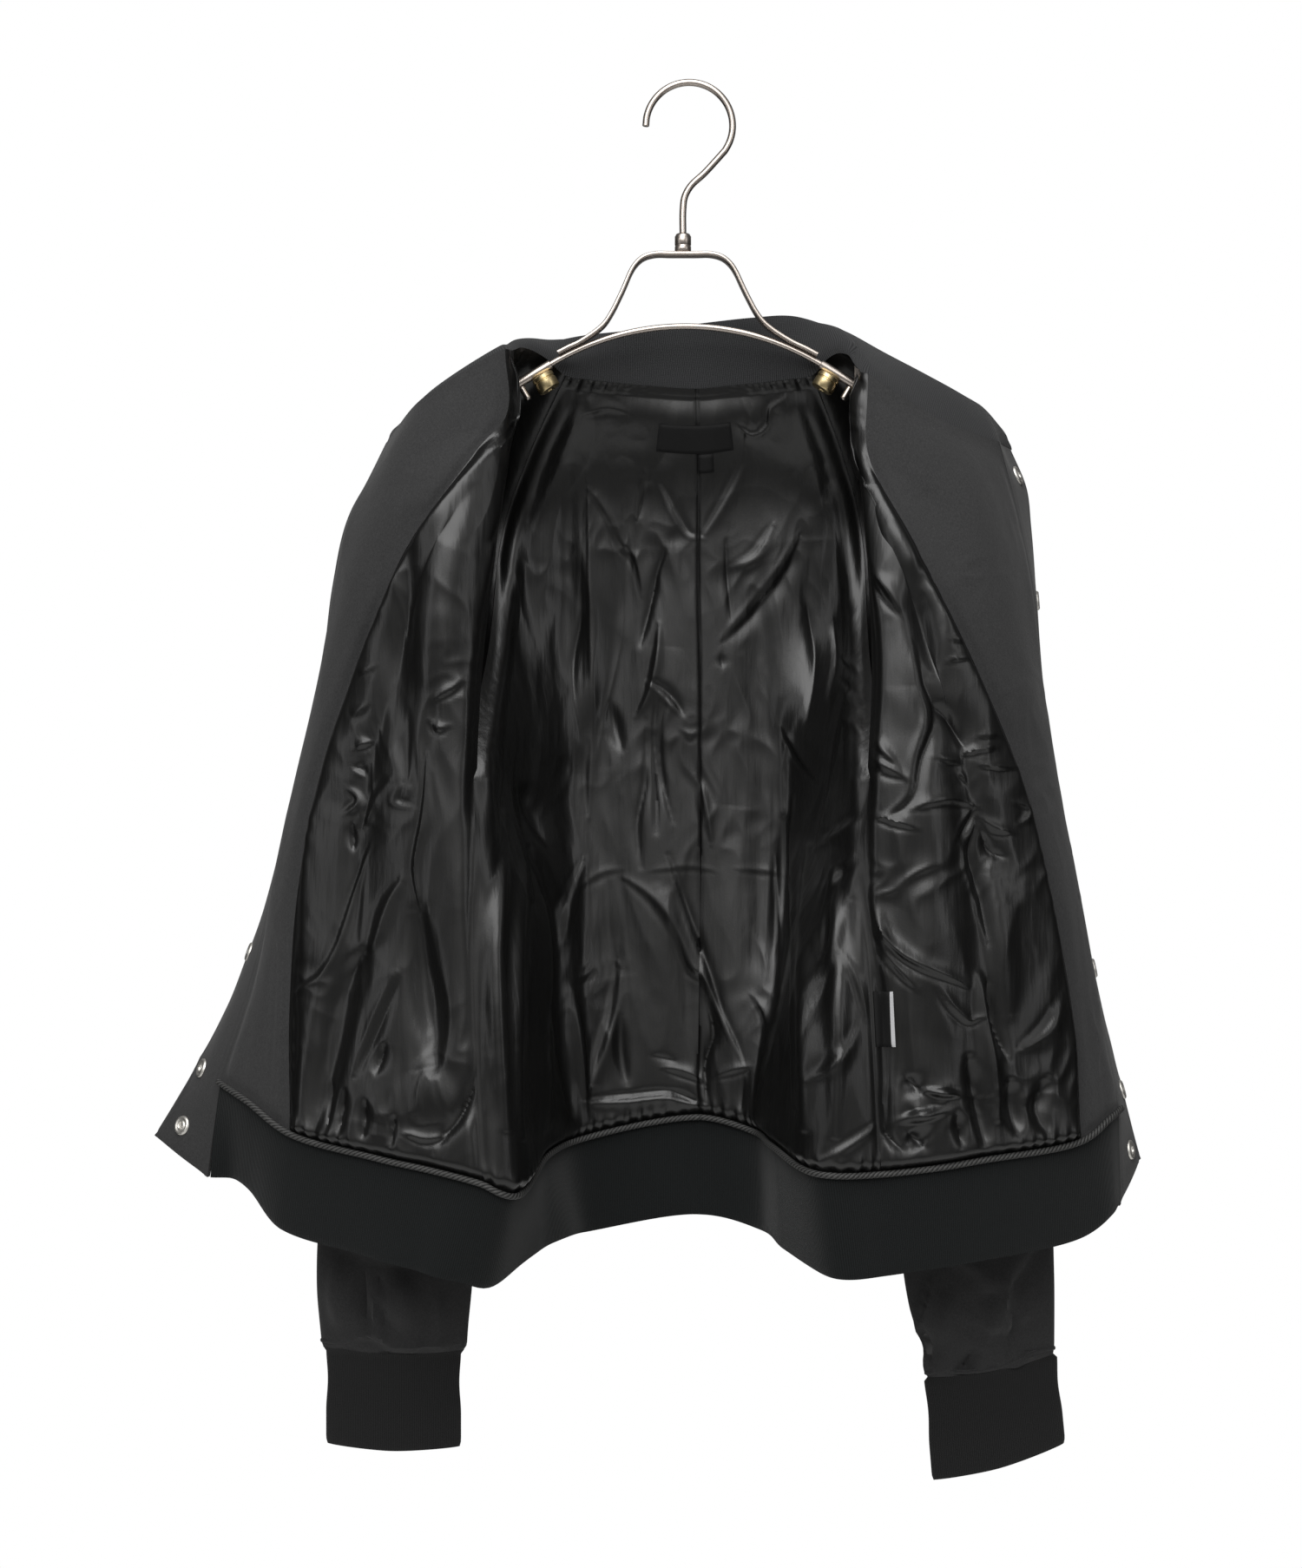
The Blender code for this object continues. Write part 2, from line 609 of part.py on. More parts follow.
def material(name, color, roughness, metallic=0.0):
    found = bpy.data.materials.get(name)
    if found is None:
        found = bpy.data.materials.new(name)
        found.use_nodes = True
        shader = found.node_tree.nodes["Principled BSDF"]
        shader.inputs["Base Color"].default_value = (*color, 1.0)
        shader.inputs["Roughness"].default_value = roughness
        shader.inputs["Metallic"].default_value = metallic
        found.diffuse_color = (*color, 1.0)
    return found


def add_mesh(name, points, faces, finish, smooth=True):
    """An object from points in millimetres."""
    mesh = bpy.data.meshes.new(name)
    mesh.from_pydata([tuple(p * MM for p in point) for point in points], [], faces)
    mesh.validate()
    if smooth:
        mesh.shade_smooth()
        mesh.set_sharp_from_angle(angle=math.radians(40))
    mesh.materials.append(finish)
    obj = bpy.data.objects.new(name, mesh)
    bpy.context.scene.collection.objects.link(obj)
    return obj


def wall(name, points, normals, start, thickness, finish):
    """A closed wall on a range of the grid, from start to start + thickness inside its outer face."""
    rows, columns = points.shape[:2]
    outer = (points - normals * start).reshape(-1, 3)
    inner = (points - normals * (start + thickness)).reshape(-1, 3)
    below = rows * columns
    faces = []
    for r in range(rows - 1):
        for c in range(columns - 1):
            a, b = r * columns + c, r * columns + c + 1
            d, e = a + columns, b + columns
            if np.linalg.norm(outer[a] - outer[e]) <= np.linalg.norm(outer[b] - outer[d]):
                halves = (a, b, e), (a, e, d)
            else:
                halves = (a, b, d), (b, e, d)
            faces += halves
            faces += [tuple(k + below for k in half[::-1]) for half in halves]
    rim = list(range(columns))
    rim += [r * columns + columns - 1 for r in range(1, rows)]
    rim += [(rows - 1) * columns + c for c in range(columns - 2, -1, -1)]
    rim += [r * columns for r in range(rows - 2, 0, -1)]
    for a, b in zip(rim, rim[1:] + rim[:1]):
        faces.append((b, a, a + below, b + below))
    return add_mesh(name, np.vstack([outer, inner]), faces, finish)


def left_turned(points):
    """A left-side range with its columns reversed, so that they run on from the right side's."""
    return points[:, ::-1]


def lathe(name, profile, sides, finish, matrix=None):
    """A turned solid about local Z, from (radius, z) pairs that start and end on the axis."""
    points, rings = [], []
    for radius, z in profile:
        if radius == 0:
            rings.append([len(points)])
            points.append((0.0, 0.0, z))
            continue
        rings.append(list(range(len(points), len(points) + sides)))
        for k in range(sides):
            turn = 2 * math.pi * k / sides
            points.append((radius * math.cos(turn), radius * math.sin(turn), z))
    faces = []
    for low, high in zip(rings, rings[1:]):
        for k in range(sides):
            n = (k + 1) % sides
            if len(low) == 1:
                faces.append((low[0], high[n], high[k]))
            elif len(high) == 1:
                faces.append((low[k], low[n], high[0]))
            else:
                faces.append((low[k], low[n], high[n], high[k]))
    if matrix is not None:
        points = [tuple(matrix @ Vector(p)) for p in points]
    return add_mesh(name, points, faces, finish)


def tube(name, path, radius, sides, finish):
    """A round bar along a path in the XZ plane, with flat ends."""
    path = np.array(path, float)
    tangent = np.gradient(path, axis=0)
    tangent /= np.linalg.norm(tangent, axis=1, keepdims=True)
    across = np.array((0.0, 1.0, 0.0))
    points = []
    for point, way in zip(path, tangent):
        up = np.cross(way, across)
        for k in range(sides):
            turn = 2 * math.pi * k / sides
            points.append(point + (across * math.cos(turn) + up * math.sin(turn)) * radius)
    faces = [tuple(range(sides))[::-1], tuple(range(len(points) - sides, len(points)))]
    for ring in range(len(path) - 1):
        for k in range(sides):
            a, b = ring * sides + k, ring * sides + (k + 1) % sides
            faces.append((a, b, b + sides, a + sides))
    return add_mesh(name, points, faces, finish)


def facing_matrix(point, normal, up=(0, 0, 1)):
    """A frame at the point with local Z along the normal."""
    z = Vector(normal).normalized()
    x = Vector(up).cross(z).normalized()
    y = z.cross(x)
    turn = Matrix((x, y, z)).transposed().to_4x4()
    return Matrix.Translation(Vector(point)) @ turn


# ---------------------------------------------------------------- the garment's pieces

def add_range(name, side, points, normals, edges, start, thickness, finish):
    """A wall on a range of one side's grid."""
    points = trimmed(points, normals, edges)
    if side == "l":
        points, normals = left_turned(points), left_turned(normals)
    return wall(name, points, normals, start, thickness, finish)


def eased(points, edges, near, ease):
    """The range with the named edges drawn back a little more in some of the upper rows."""
    p = points.copy()
    for row in near:
        for edge in edges:
            a, b = (0, 1) if edge == "first" else (-1, -2)
            way = p[row, b] - p[row, a]
            p[row, a] += way / np.linalg.norm(way) * ease
    return p


def build_shell(grid, normal, cloth):
    edges = ("first", "last", "top", "bottom")
    raglan, underarm = range(UNDERARM_ROW - 2), range(UNDERARM_ROW - 2, UNDERARM_ROW + 1)
    backs = []
    for side in SIDES:
        points = joined([grid[side, "facing"], grid[side, "front"]])
        normals = joined([normal[side, "facing"], normal[side, "front"]])
        points = eased(points, ("last",), underarm, RAGLAN_EASE)
        add_range(f"front_{side}", side, points, normals, edges, 0, SHELL, cloth)
        points = eased(grid[side, "sleeve"], ("first", "last"), raglan, RAGLAN_EASE)
        points = eased(points, ("first", "last"), underarm, UNDERARM_EASE)
        points[0] += (points[1] - points[0]) * SLEEVE_TOP_EASE
        add_range(f"sleeve_{side}", side, points, normal[side, "sleeve"], edges, 0, SHELL, cloth)
        backs.append(eased(grid[side, "back"], ("first",), underarm, BACK_EASE))
    points = joined([backs[0], left_turned(backs[1])])
    normals = joined([normal["r", "back"], left_turned(normal["l", "back"])])
    add_range("back", "r", points, normals, edges, 0, SHELL, cloth)


def build_lining(grid, normal, cloth, satin):
    edges = ("first", "last", "top", "bottom")
    start = SHELL + PLY_GAP
    for side in SIDES:
        for piece, name, finish in (
            ("facing", "facing", cloth),
            ("front", "lining_front", satin),
            ("back", "lining_back", satin),
        ):
            points, normals = grid[side, piece], normal[side, piece]
            add_range(f"{name}_{side}", side, points, normals, edges, start, LINING, finish)


def build_hem(grid, normal, rib):
    points = joined([grid["r", "hem"], left_turned(grid["l", "hem"])])
    normals = joined([normal["r", "hem"], left_turned(normal["l", "hem"])])
    add_range("hem_rib", "r", points, normals, ("first", "last", "top"), 0, RIB, rib)


def build_cuffs(grid, normal, rib):
    edges = ("first", "last", "top")
    for side in SIDES:
        points, normals = grid[side, "cuff"], normal[side, "cuff"]
        add_range(f"cuff_{side}", side, points, normals, edges, 0, CUFF_WALL, rib)


def build_collar(grid, rib):
    """The knit collar: a band standing on the neck seam, its free edge folded back over the shoulders."""
    order = ("placket", "facing", "front", "sleeve", "back")
    right = [grid["r", p][:1] for p in order]
    left = [left_turned(grid["l", p][:1]) for p in order[::-1]]
    line = joined(right + left)[0]
    stations = np.linspace(0, 1, COLLAR_COLUMNS + 1)
    rows = []
    for level in range(COLLAR_ROWS + 1):
        share = 1 - level / COLLAR_ROWS
        row = []
        for station, point in zip(stations, respaced(line, COLLAR_COLUMNS)):
            c = between_rows(COLLAR_TABLE, COLLAR_NAMES, station)
            way = np.array((c["x"], c["y"], c["z"])) - point
            lift = np.array((0.0, 0.0, COLLAR_LIFT + c["bulge"] * math.sin(math.pi * share)))
            row.append(point + way * share + lift)
        rows.append(row)
    points = np.array(rows)
    wall("collar", points, grid_normals(points), 0, RIB, rib)


def build_plackets(grid, normal, cloth, metal):
    for side in SIDES:
        strip, normals = grid[side, "placket"], normal[side, "placket"]
        cut_strip = strip.copy()
        cut_strip[0] += (strip[1] - strip[0]) * STRIP_TOP_EASE
        placket = add_range(f"placket_{side}", side, cut_strip, normals, ("last",), 0, PLACKET, cloth)
        add_snaps(side, placket, strip, normals, metal)


def add_snaps(side, placket, strip, normals, metal):
    """Snap fasteners through the placket, each in a round hole."""
    line = (strip[::-1, 1] + strip[::-1, 2]) / 2
    facing = (normals[::-1, 1] + normals[::-1, 2]) / 2
    along = np.concatenate([[0], np.cumsum(np.linalg.norm(np.diff(line, axis=0), axis=1))])
    cutters = []
    for number, height in enumerate(SNAP_HEIGHTS, 1):
        point, way = (
            np.array([np.interp(height, along, data[:, k]) for k in range(3)]) for data in (line, facing)
        )
        way /= np.linalg.norm(way)
        matrix = facing_matrix(point - way * PLACKET / 2, way)
        half = PLACKET / 2 + SNAP_CLEARANCE
        top = half + SNAP_FLANGE
        rim = SNAP_RADIUS - SNAP_ROUNDING
        profile = (
            (0, -top), (rim, -top), (SNAP_RADIUS, -half), (SNAP_SHANK_RADIUS, -half),
            (SNAP_SHANK_RADIUS, half), (SNAP_RADIUS, half), (rim, top), (0, top),
        )
        lathe(f"snap_{side}_{number}", profile, SNAP_SIDES, metal, matrix)
        r, end = SNAP_HOLE_RADIUS, half * 2
        hole = ((0, -end), (r, -end), (r, end), (0, end))
        cutter = lathe(f"hole_{side}_{number}", hole, SNAP_SIDES, metal, matrix)
        cutter.hide_render = True
        cutters.append(cutter)
    for cutter in cutters:
        cut = placket.modifiers.new(cutter.name, "BOOLEAN")
        cut.operation = "DIFFERENCE"
        cut.solver = "EXACT"
        cut.object = cutter


def patch(grid, normal, side, piece, rows, shares, inside):
    """Points lying inside a piece, at grid rows (by number) and shares of its width, and their normals."""
    made = []
    for data in (grid[side, piece], normal[side, piece]):
        columns = np.array(shares) * (data.shape[1] - 1)
        found = []
        for row in rows:
            above = min(int(row), len(data) - 2)
            part = row - above
            line = data[above] * (1 - part) + data[above + 1] * part
            at = np.arange(len(line))
            found.append(np.stack([np.interp(columns, at, line[:, k]) for k in range(3)], axis=1))
        made.append(np.array(found))
    points, normals = made
    return points - normals * inside, normals


def build_labels(grid, normal, satin):
    """A plain neck label with a size tab under it, and a care label in the left side seam."""
    inside = RIB + LABEL_CLEARANCE
    rows, shares = (1.2, 1.6, 2.0), (0.75, 0.83, 0.92, 1.0)
    right, facing_r = patch(grid, normal, "r", "back", rows, shares, inside)
    left, facing_l = patch(grid, normal, "l", "back", rows, shares, inside)
    points = joined([right, left_turned(left)])
    wall("label", points, joined([facing_r, left_turned(facing_l)]), 0, LABEL, satin)
    for name, piece, rows, shares in (
        ("size_tab", "back", (2.06, 2.35, 2.65), (0.9, 0.95, 1.0)),
        ("care_label", "front", (16.2, 17, 17.8), (0.9, 0.96, 1.0)),
    ):
        points, facing = patch(grid, normal, "l", piece, rows, shares, inside)
        wall(name, left_turned(points), left_turned(facing), 0, LABEL, satin)


# ---------------------------------------------------------------- the hanger

def rail_point(x):
    """A point of the rail's centre line at a distance x from its middle."""
    slope = math.radians(RAIL_SLOPE)
    bend = RAIL_BEND_RADIUS * math.sin(slope)
    if abs(x) <= bend:
        drop = RAIL_BEND_RADIUS - math.sqrt(RAIL_BEND_RADIUS**2 - x**2)
    else:
        drop = RAIL_BEND_RADIUS * (1 - math.cos(slope)) + (abs(x) - bend) * math.tan(slope)
    return (RAIL_X + x, 0.0, RAIL_TOP_Z - drop)


def hook_path():
    """The hook's wire: a round crook, then a reverse bend into the shank."""
    centre_z = HOOK_WIRE / 2 - HOOK_RADIUS
    crook = []
    for k in range(19):
        angle = math.radians(180 + (HOOK_END_ANGLE - 180) * k / 18)
        crook.append((HOOK_RADIUS * math.cos(angle), 0.0, centre_z + HOOK_RADIUS * math.sin(angle)))
    bend = [(8.5, 0.0, -50.5), (1.0, 0.0, -57.5), (-2.6, 0.0, SHANK_TOP_Z + 2)]
    shank = [(SHANK_X, 0.0, SHANK_TOP_Z - 6), (SHANK_X, 0.0, FERRULE_TOP_Z + HANGER_CLEARANCE)]
    line, _ = smooth_line(crook[-2:] + bend + shank, steps=4)
    return crook[:-2] + [tuple(p) for p in line]


def bow_line():
    """The flat bow's centre line in XZ, left end to right end, lying on the rail at both ends."""
    def on_rail(x):
        p = rail_point(x)
        bend = RAIL_BEND_RADIUS * math.sin(math.radians(RAIL_SLOPE))
        slope = math.asin(min(abs(x), bend) / RAIL_BEND_RADIUS) * (1 if x < 0 else -1)
        lift = RAIL_WIRE / 2 + BOW_THICKNESS / 2 + HANGER_CLEARANCE
        return (p[0] - math.sin(slope) * lift, 0.0, p[2] + math.cos(slope) * lift)

    top = BOW_TOP_Z - BOW_THICKNESS / 2
    foot = [on_rail(x) for x in (-72, -66, -60)]
    leg = [(-50.0, 0, -138.5), (-45.0, 0, -131.5), (-38.5, 0, -118.5), (-32.0, 0, -104.5)]
    corner = [(-26.5, 0, top - 2.0), (-19.5, 0, top), (-11.0, 0, top)]
    mirrored = [(2 * SHANK_X - x, y, z) for x, y, z in corner[::-1]]
    right_leg = [(25.0, 0, -104.5), (32.0, 0, -118.5), (39.0, 0, -131.5), (45.0, 0, -138.5)]
    right_foot = [on_rail(x) for x in (60, 67, 74)]
    line, _ = smooth_line(foot + leg + corner + mirrored + right_leg + right_foot, steps=3)
    return line


def flat_bar(name, line, thickness, depth, finish):
    """A flat bar with its wide face square to the XZ plane, bent along a line."""
    tangent = np.gradient(line, axis=0)
    tangent /= np.linalg.norm(tangent, axis=1, keepdims=True)
    up = np.stack([-tangent[:, 2], tangent[:, 1] * 0, tangent[:, 0]], axis=1)
    across = np.array((0.0, 1.0, 0.0))
    corners = []
    for sy, su in ((-1, 1), (1, 1), (1, -1), (-1, -1)):
        corners.append(line + across * sy * depth / 2 + up * su * thickness / 2)
    count = len(line)
    points = np.vstack(corners)
    faces = []
    for side in range(4):
        nxt = (side + 1) % 4
        for k in range(count - 1):
            a, b = side * count + k, nxt * count + k
            faces.append((a, a + 1, b + 1, b))
    faces.append(tuple(side * count for side in range(4)))
    faces.append(tuple(side * count + count - 1 for side in range(3, -1, -1)))
    return add_mesh(name, points, faces, finish, smooth=False)


def build_hanger(steel, brass):
    tube("hook", hook_path(), HOOK_WIRE / 2, 10, steel)
    foot, top = BOW_TOP_Z + HANGER_CLEARANCE, FERRULE_TOP_Z
    profile = (
        (0, foot), (FERRULE_RADIUS, foot), (FERRULE_RADIUS, top - 1.6), (3.9, top - 0.4),
        (2.8, top), (0, top),
    )
    lathe("ferrule", profile, 14, steel, Matrix.Translation((SHANK_X, 0, 0)))
    flat_bar("bow", bow_line(), BOW_THICKNESS, BOW_DEPTH, steel)
    reach = ARM_START - HANGER_CLEARANCE
    tube("rail", [rail_point(x) for x in np.linspace(-reach, reach, 21)], RAIL_WIRE / 2, 10, steel)
    for side, sign in SIDES.items():
        ends = (ARM_START, (ARM_START + ARM_END) / 2, ARM_END)
        arm = [rail_point(x) for x in sorted(sign * end for end in ends)]
        tube(f"arm_{side}", arm, ARM_TUBE / 2, 12, steel)
        hang_below(f"nut_{side}", sign * NUT_AT, NUT_RADIUS, NUT_HEIGHT, NUT_SIDES, brass)
        hang_below(f"stud_{side}", sign * STUD_AT, STUD_RADIUS, STUD_HEIGHT, 10, steel)


def hang_below(name, x, radius, height, sides, finish):
    """A turned piece hanging square under the arm, its top face just clear of the tube."""
    point = Vector(rail_point(x))
    slope = math.radians(RAIL_SLOPE) * (1 if x < 0 else -1)
    down = Vector((math.sin(slope), 0.0, -math.cos(slope)))
    top = ARM_TUBE / 2 + HANGER_CLEARANCE
    profile = (
        (0, top), (radius * 0.88, top), (radius, top + 0.8),
        (radius, top + height - 0.8), (radius * 0.88, top + height), (0, top + height),
    )
    matrix = facing_matrix(point, down, up=(0, 1, 0))
    lathe(name, profile, sides, finish, matrix)


def main():
    for obj in list(bpy.data.objects):
        bpy.data.objects.remove(obj)
    cloth = material("cloth", CLOTH_BLACK, 0.9)
    rib = material("rib", RIB_BLACK, 0.95)
    satin = material("satin", LINING_BLACK, 0.35)
    steel = material("steel", STEEL, 0.3, 1.0)
    brass = material("brass", BRASS, 0.35, 1.0)
    snap_metal = material("snap_metal", STEEL, 0.35, 1.0)
    grid = garment_grid()
    normal = welded_normals(grid)
    build_shell(grid, normal, cloth)
    build_lining(grid, normal, cloth, satin)
    build_hem(grid, normal, rib)
    build_cuffs(grid, normal, rib)
    build_collar(grid, rib)
    build_plackets(grid, normal, cloth, snap_metal)
    build_labels(grid, normal, satin)
    build_hanger(steel, brass)


main()
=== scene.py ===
"""The looks of a varsity jacket hung wide open on a metal hanger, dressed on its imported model.

Lengths are in millimetres until a mesh is made. The origin is the underside of the hook's top, +X is to
the right as one looks into the open jacket, +Y goes back and +Z is up. _r pieces are on the wearer's right
(-X), and _l pieces on the wearer's left (+X).

The cloth is one fine grid, drawn from the same tables as the solids: its columns run round the garment
from the front edges to the centre back, and its rows run down from the neck seam. The lining and the
facings are the same grid moved in, and creases, puckers and seams are pressed into each of them.
"""

import math

import bpy
import numpy as np
from mathutils import Matrix, Vector, noise


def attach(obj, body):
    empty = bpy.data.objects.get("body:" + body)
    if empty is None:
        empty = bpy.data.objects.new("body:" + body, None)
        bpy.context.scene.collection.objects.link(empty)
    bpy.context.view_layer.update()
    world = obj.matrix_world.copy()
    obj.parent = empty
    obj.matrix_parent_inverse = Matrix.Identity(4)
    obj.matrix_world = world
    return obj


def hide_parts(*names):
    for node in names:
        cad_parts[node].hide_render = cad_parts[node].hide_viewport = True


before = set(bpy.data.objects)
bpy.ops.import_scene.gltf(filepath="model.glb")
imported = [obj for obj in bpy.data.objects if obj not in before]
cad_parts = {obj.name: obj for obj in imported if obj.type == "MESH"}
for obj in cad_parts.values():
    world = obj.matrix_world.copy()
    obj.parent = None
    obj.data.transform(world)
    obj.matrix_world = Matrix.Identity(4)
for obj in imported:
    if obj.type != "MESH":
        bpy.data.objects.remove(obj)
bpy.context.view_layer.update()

MM = 0.001

# ---------------------------------------------------------------- sizes

SHELL = 1.8
PLY_GAP = 0.5
LINING = 1.0
RIB = SHELL + PLY_GAP + LINING
CUFF_WALL = 2.5
PLACKET = 3.6

# Rows of the grid, as in the tables: 0 is the neck seam
UNDERARM_ROW = 11
HEM_SEAM_ROW = 22
HEM_ROW = 25
CUFF_SEAM_ROW = 28
CUFF_ROW = 31

# Fine rows for each row of the tables, and columns of one side
ROW_STEPS = 18
FACING_COLUMNS = 48
FRONT_COLUMNS = 96
SLEEVE_COLUMNS = 132
BACK_COLUMNS = 160
BODY_ROWS = np.linspace(0, HEM_SEAM_ROW, HEM_SEAM_ROW * ROW_STEPS + 1)
SLEEVE_ROW_STEPS = 7
SLEEVE_ROWS = np.linspace(
    UNDERARM_ROW, CUFF_SEAM_ROW, (CUFF_SEAM_ROW - UNDERARM_ROW) * SLEEVE_ROW_STEPS + 1
)
UPPER_ROWS = BODY_ROWS[BODY_ROWS < UNDERARM_ROW - 1e-6]
BLEND_ROW = 6  # from here down to the underarm the sections turn into those below it
BAND_STEPS = 8  # rows of the hem rib and the cuffs for each row of the tables
SHELL_THINNING = (3, 2)  # the outer shell keeps every third row and every second column

CUFF_HEIGHT = 57.0
PLACKET_WIDTH = 40.0

SNAP_HEIGHTS = (16, 51, 124, 197, 270, 343, 416)  # up the front edge from the hem

# The camera's place, its focal length and its picture's height in pixels, and the sensor's height
CAMERA = (-22.0, -1350.0, -402.0)
FOCAL_PIXELS = 2700
PHOTO_HEIGHT = 1806
SENSOR = 24.0
FLOOR_Z = -1750.0

LAP_STEEPNESS = 0.45  # how wide the steep side of a lap is, as a share of its half width
SHORT_WRINKLES = 2.0  # how deep the short wrinkles are, against the long ones
FLAT_TOP = 3  # how many times wider the lining lies flat under the neck than beside other seams
NECK_BAND = 5.5  # a plain band across the top of the back lining
NECK_BAND_EDGE = 0.8
NECK_BAND_LIFT = 0.5
SIDE_SEAM_LIFT = 3.6  # how far the side seam of the lining stands off the shell
SIDE_SEAM_START = 30.0  # over how much of its length, below the underarm, it comes to do so
CENTRE_SEAM_DIP = 1.0  # the centre back seam
CENTRE_SEAM_WIDTH = 1.1
SEAM_DIP = 0.8  # the outer shell's seams
SEAM_WIDTH = 2.4
SHELL_WALL = 1.6
OUTSIDE_LIMIT = 6.0  # how far a fold of the outer shell may stand out
ROLL_RADIUS = 1.8  # the rolled, overlocked edge along the hem seam
ROLL_DROP = 0.8  # how far it hangs below that seam
ROLL_STEPS = 700
ROLL_SIDES = 12
CUFF_SEAM_RADIUS = 1.2  # the turned seam above each cuff
CUFF_SEAM_SUNK = 0.45  # how deep its middle lies in the sleeve
CUFF_SEAM_ROWS = 12  # the sleeve's last rows, over which it may rise
CUFF_SEAM_SIDES = 10
SNAP_SIDES = 40
LABEL_BACK = 0.15  # how far the labels' backs and faces lie off the lining, besides their thickness
LABEL_FACE = 0.35
COLLAR_LEVELS = 16  # fine rows of the collar
PLACKET_COLUMNS = 26
PLACKET_ROUND = 1.3  # how far its edges are rounded off
STITCH_ROWS = (("first", 6.0), ("last", 3.0))  # its topstitching, inwards from its free edge and its seam
STITCH_DEPTH = 0.35
STITCH_WIDTH = 0.7
SNAP_AT = 0.395  # the snaps' place across the strip, from its free edge

# The knit bands: their free edge and their seam, how far the free edge is rounded off and over what
# width, how far the seam is pressed in from outside and from inside, and the thickness of both plies
BAND_NAMES = ("edge", "seam", "round", "round_width", "outer_press", "inner_press", "thickness")
BANDS = {
    "hem": ("bottom", "top", 1.1, 2.0, 0.5, 0.8, RIB),
    "cuff": ("bottom", "top", 0.9, 1.8, 0.7, 0.0, CUFF_WALL),
    "collar": ("top", "bottom", 1.1, 2.0, 0.6, 0.0, RIB),
}
BAND_SEAM_WIDTH = 1.6
HEM_WAVE = 0.35  # the hem's small waves under its seam
HEM_WAVE_REACH = 14.0

# Half profiles of turned parts, (radius, height) from the axis round to the axis. The snap has two.
SOCKET = (
    (0, 0.2), (1.0, 0.2), (1.7, 0.35), (2.0, 1.2), (2.4, 1.35), (2.9, 0.8), (3.6, 0.75), (4.1, 1.25),
    (4.8, 1.3), (5.5, 0.8), (5.75, 0.0), (0, 0.0),
)
CAP = (
    (0, 0.8), (0.7, 0.85), (1.0, 1.15), (4.2, 1.25), (5.2, 1.0), (5.75, 0.4), (5.75, 0.0), (0, 0.0),
)
FERRULE = (
    (0, 0), (4.4, 0), (4.7, 0.3), (4.7, 3.0), (4.45, 3.3), (4.45, 3.7), (4.7, 4.0), (4.7, 8.8), (4.3, 9.4),
    (3.9, 10.2), (2.8, 10.7), (0, 10.7),
)
NUT = (
    (0, 0), (5.8, 0), (6.6, 0.6), (6.6, 2.6), (6.1, 3.0), (6.1, 3.5), (6.6, 3.9), (6.6, 8.8), (5.9, 9.5),
    (2.4, 9.5), (2.2, 9.0), (0, 9.0),
)
STUD = ((0, 0), (1.9, 0), (1.9, 6.4), (1.9, 7.2), (1.3, 8.0), (0, 8.0))

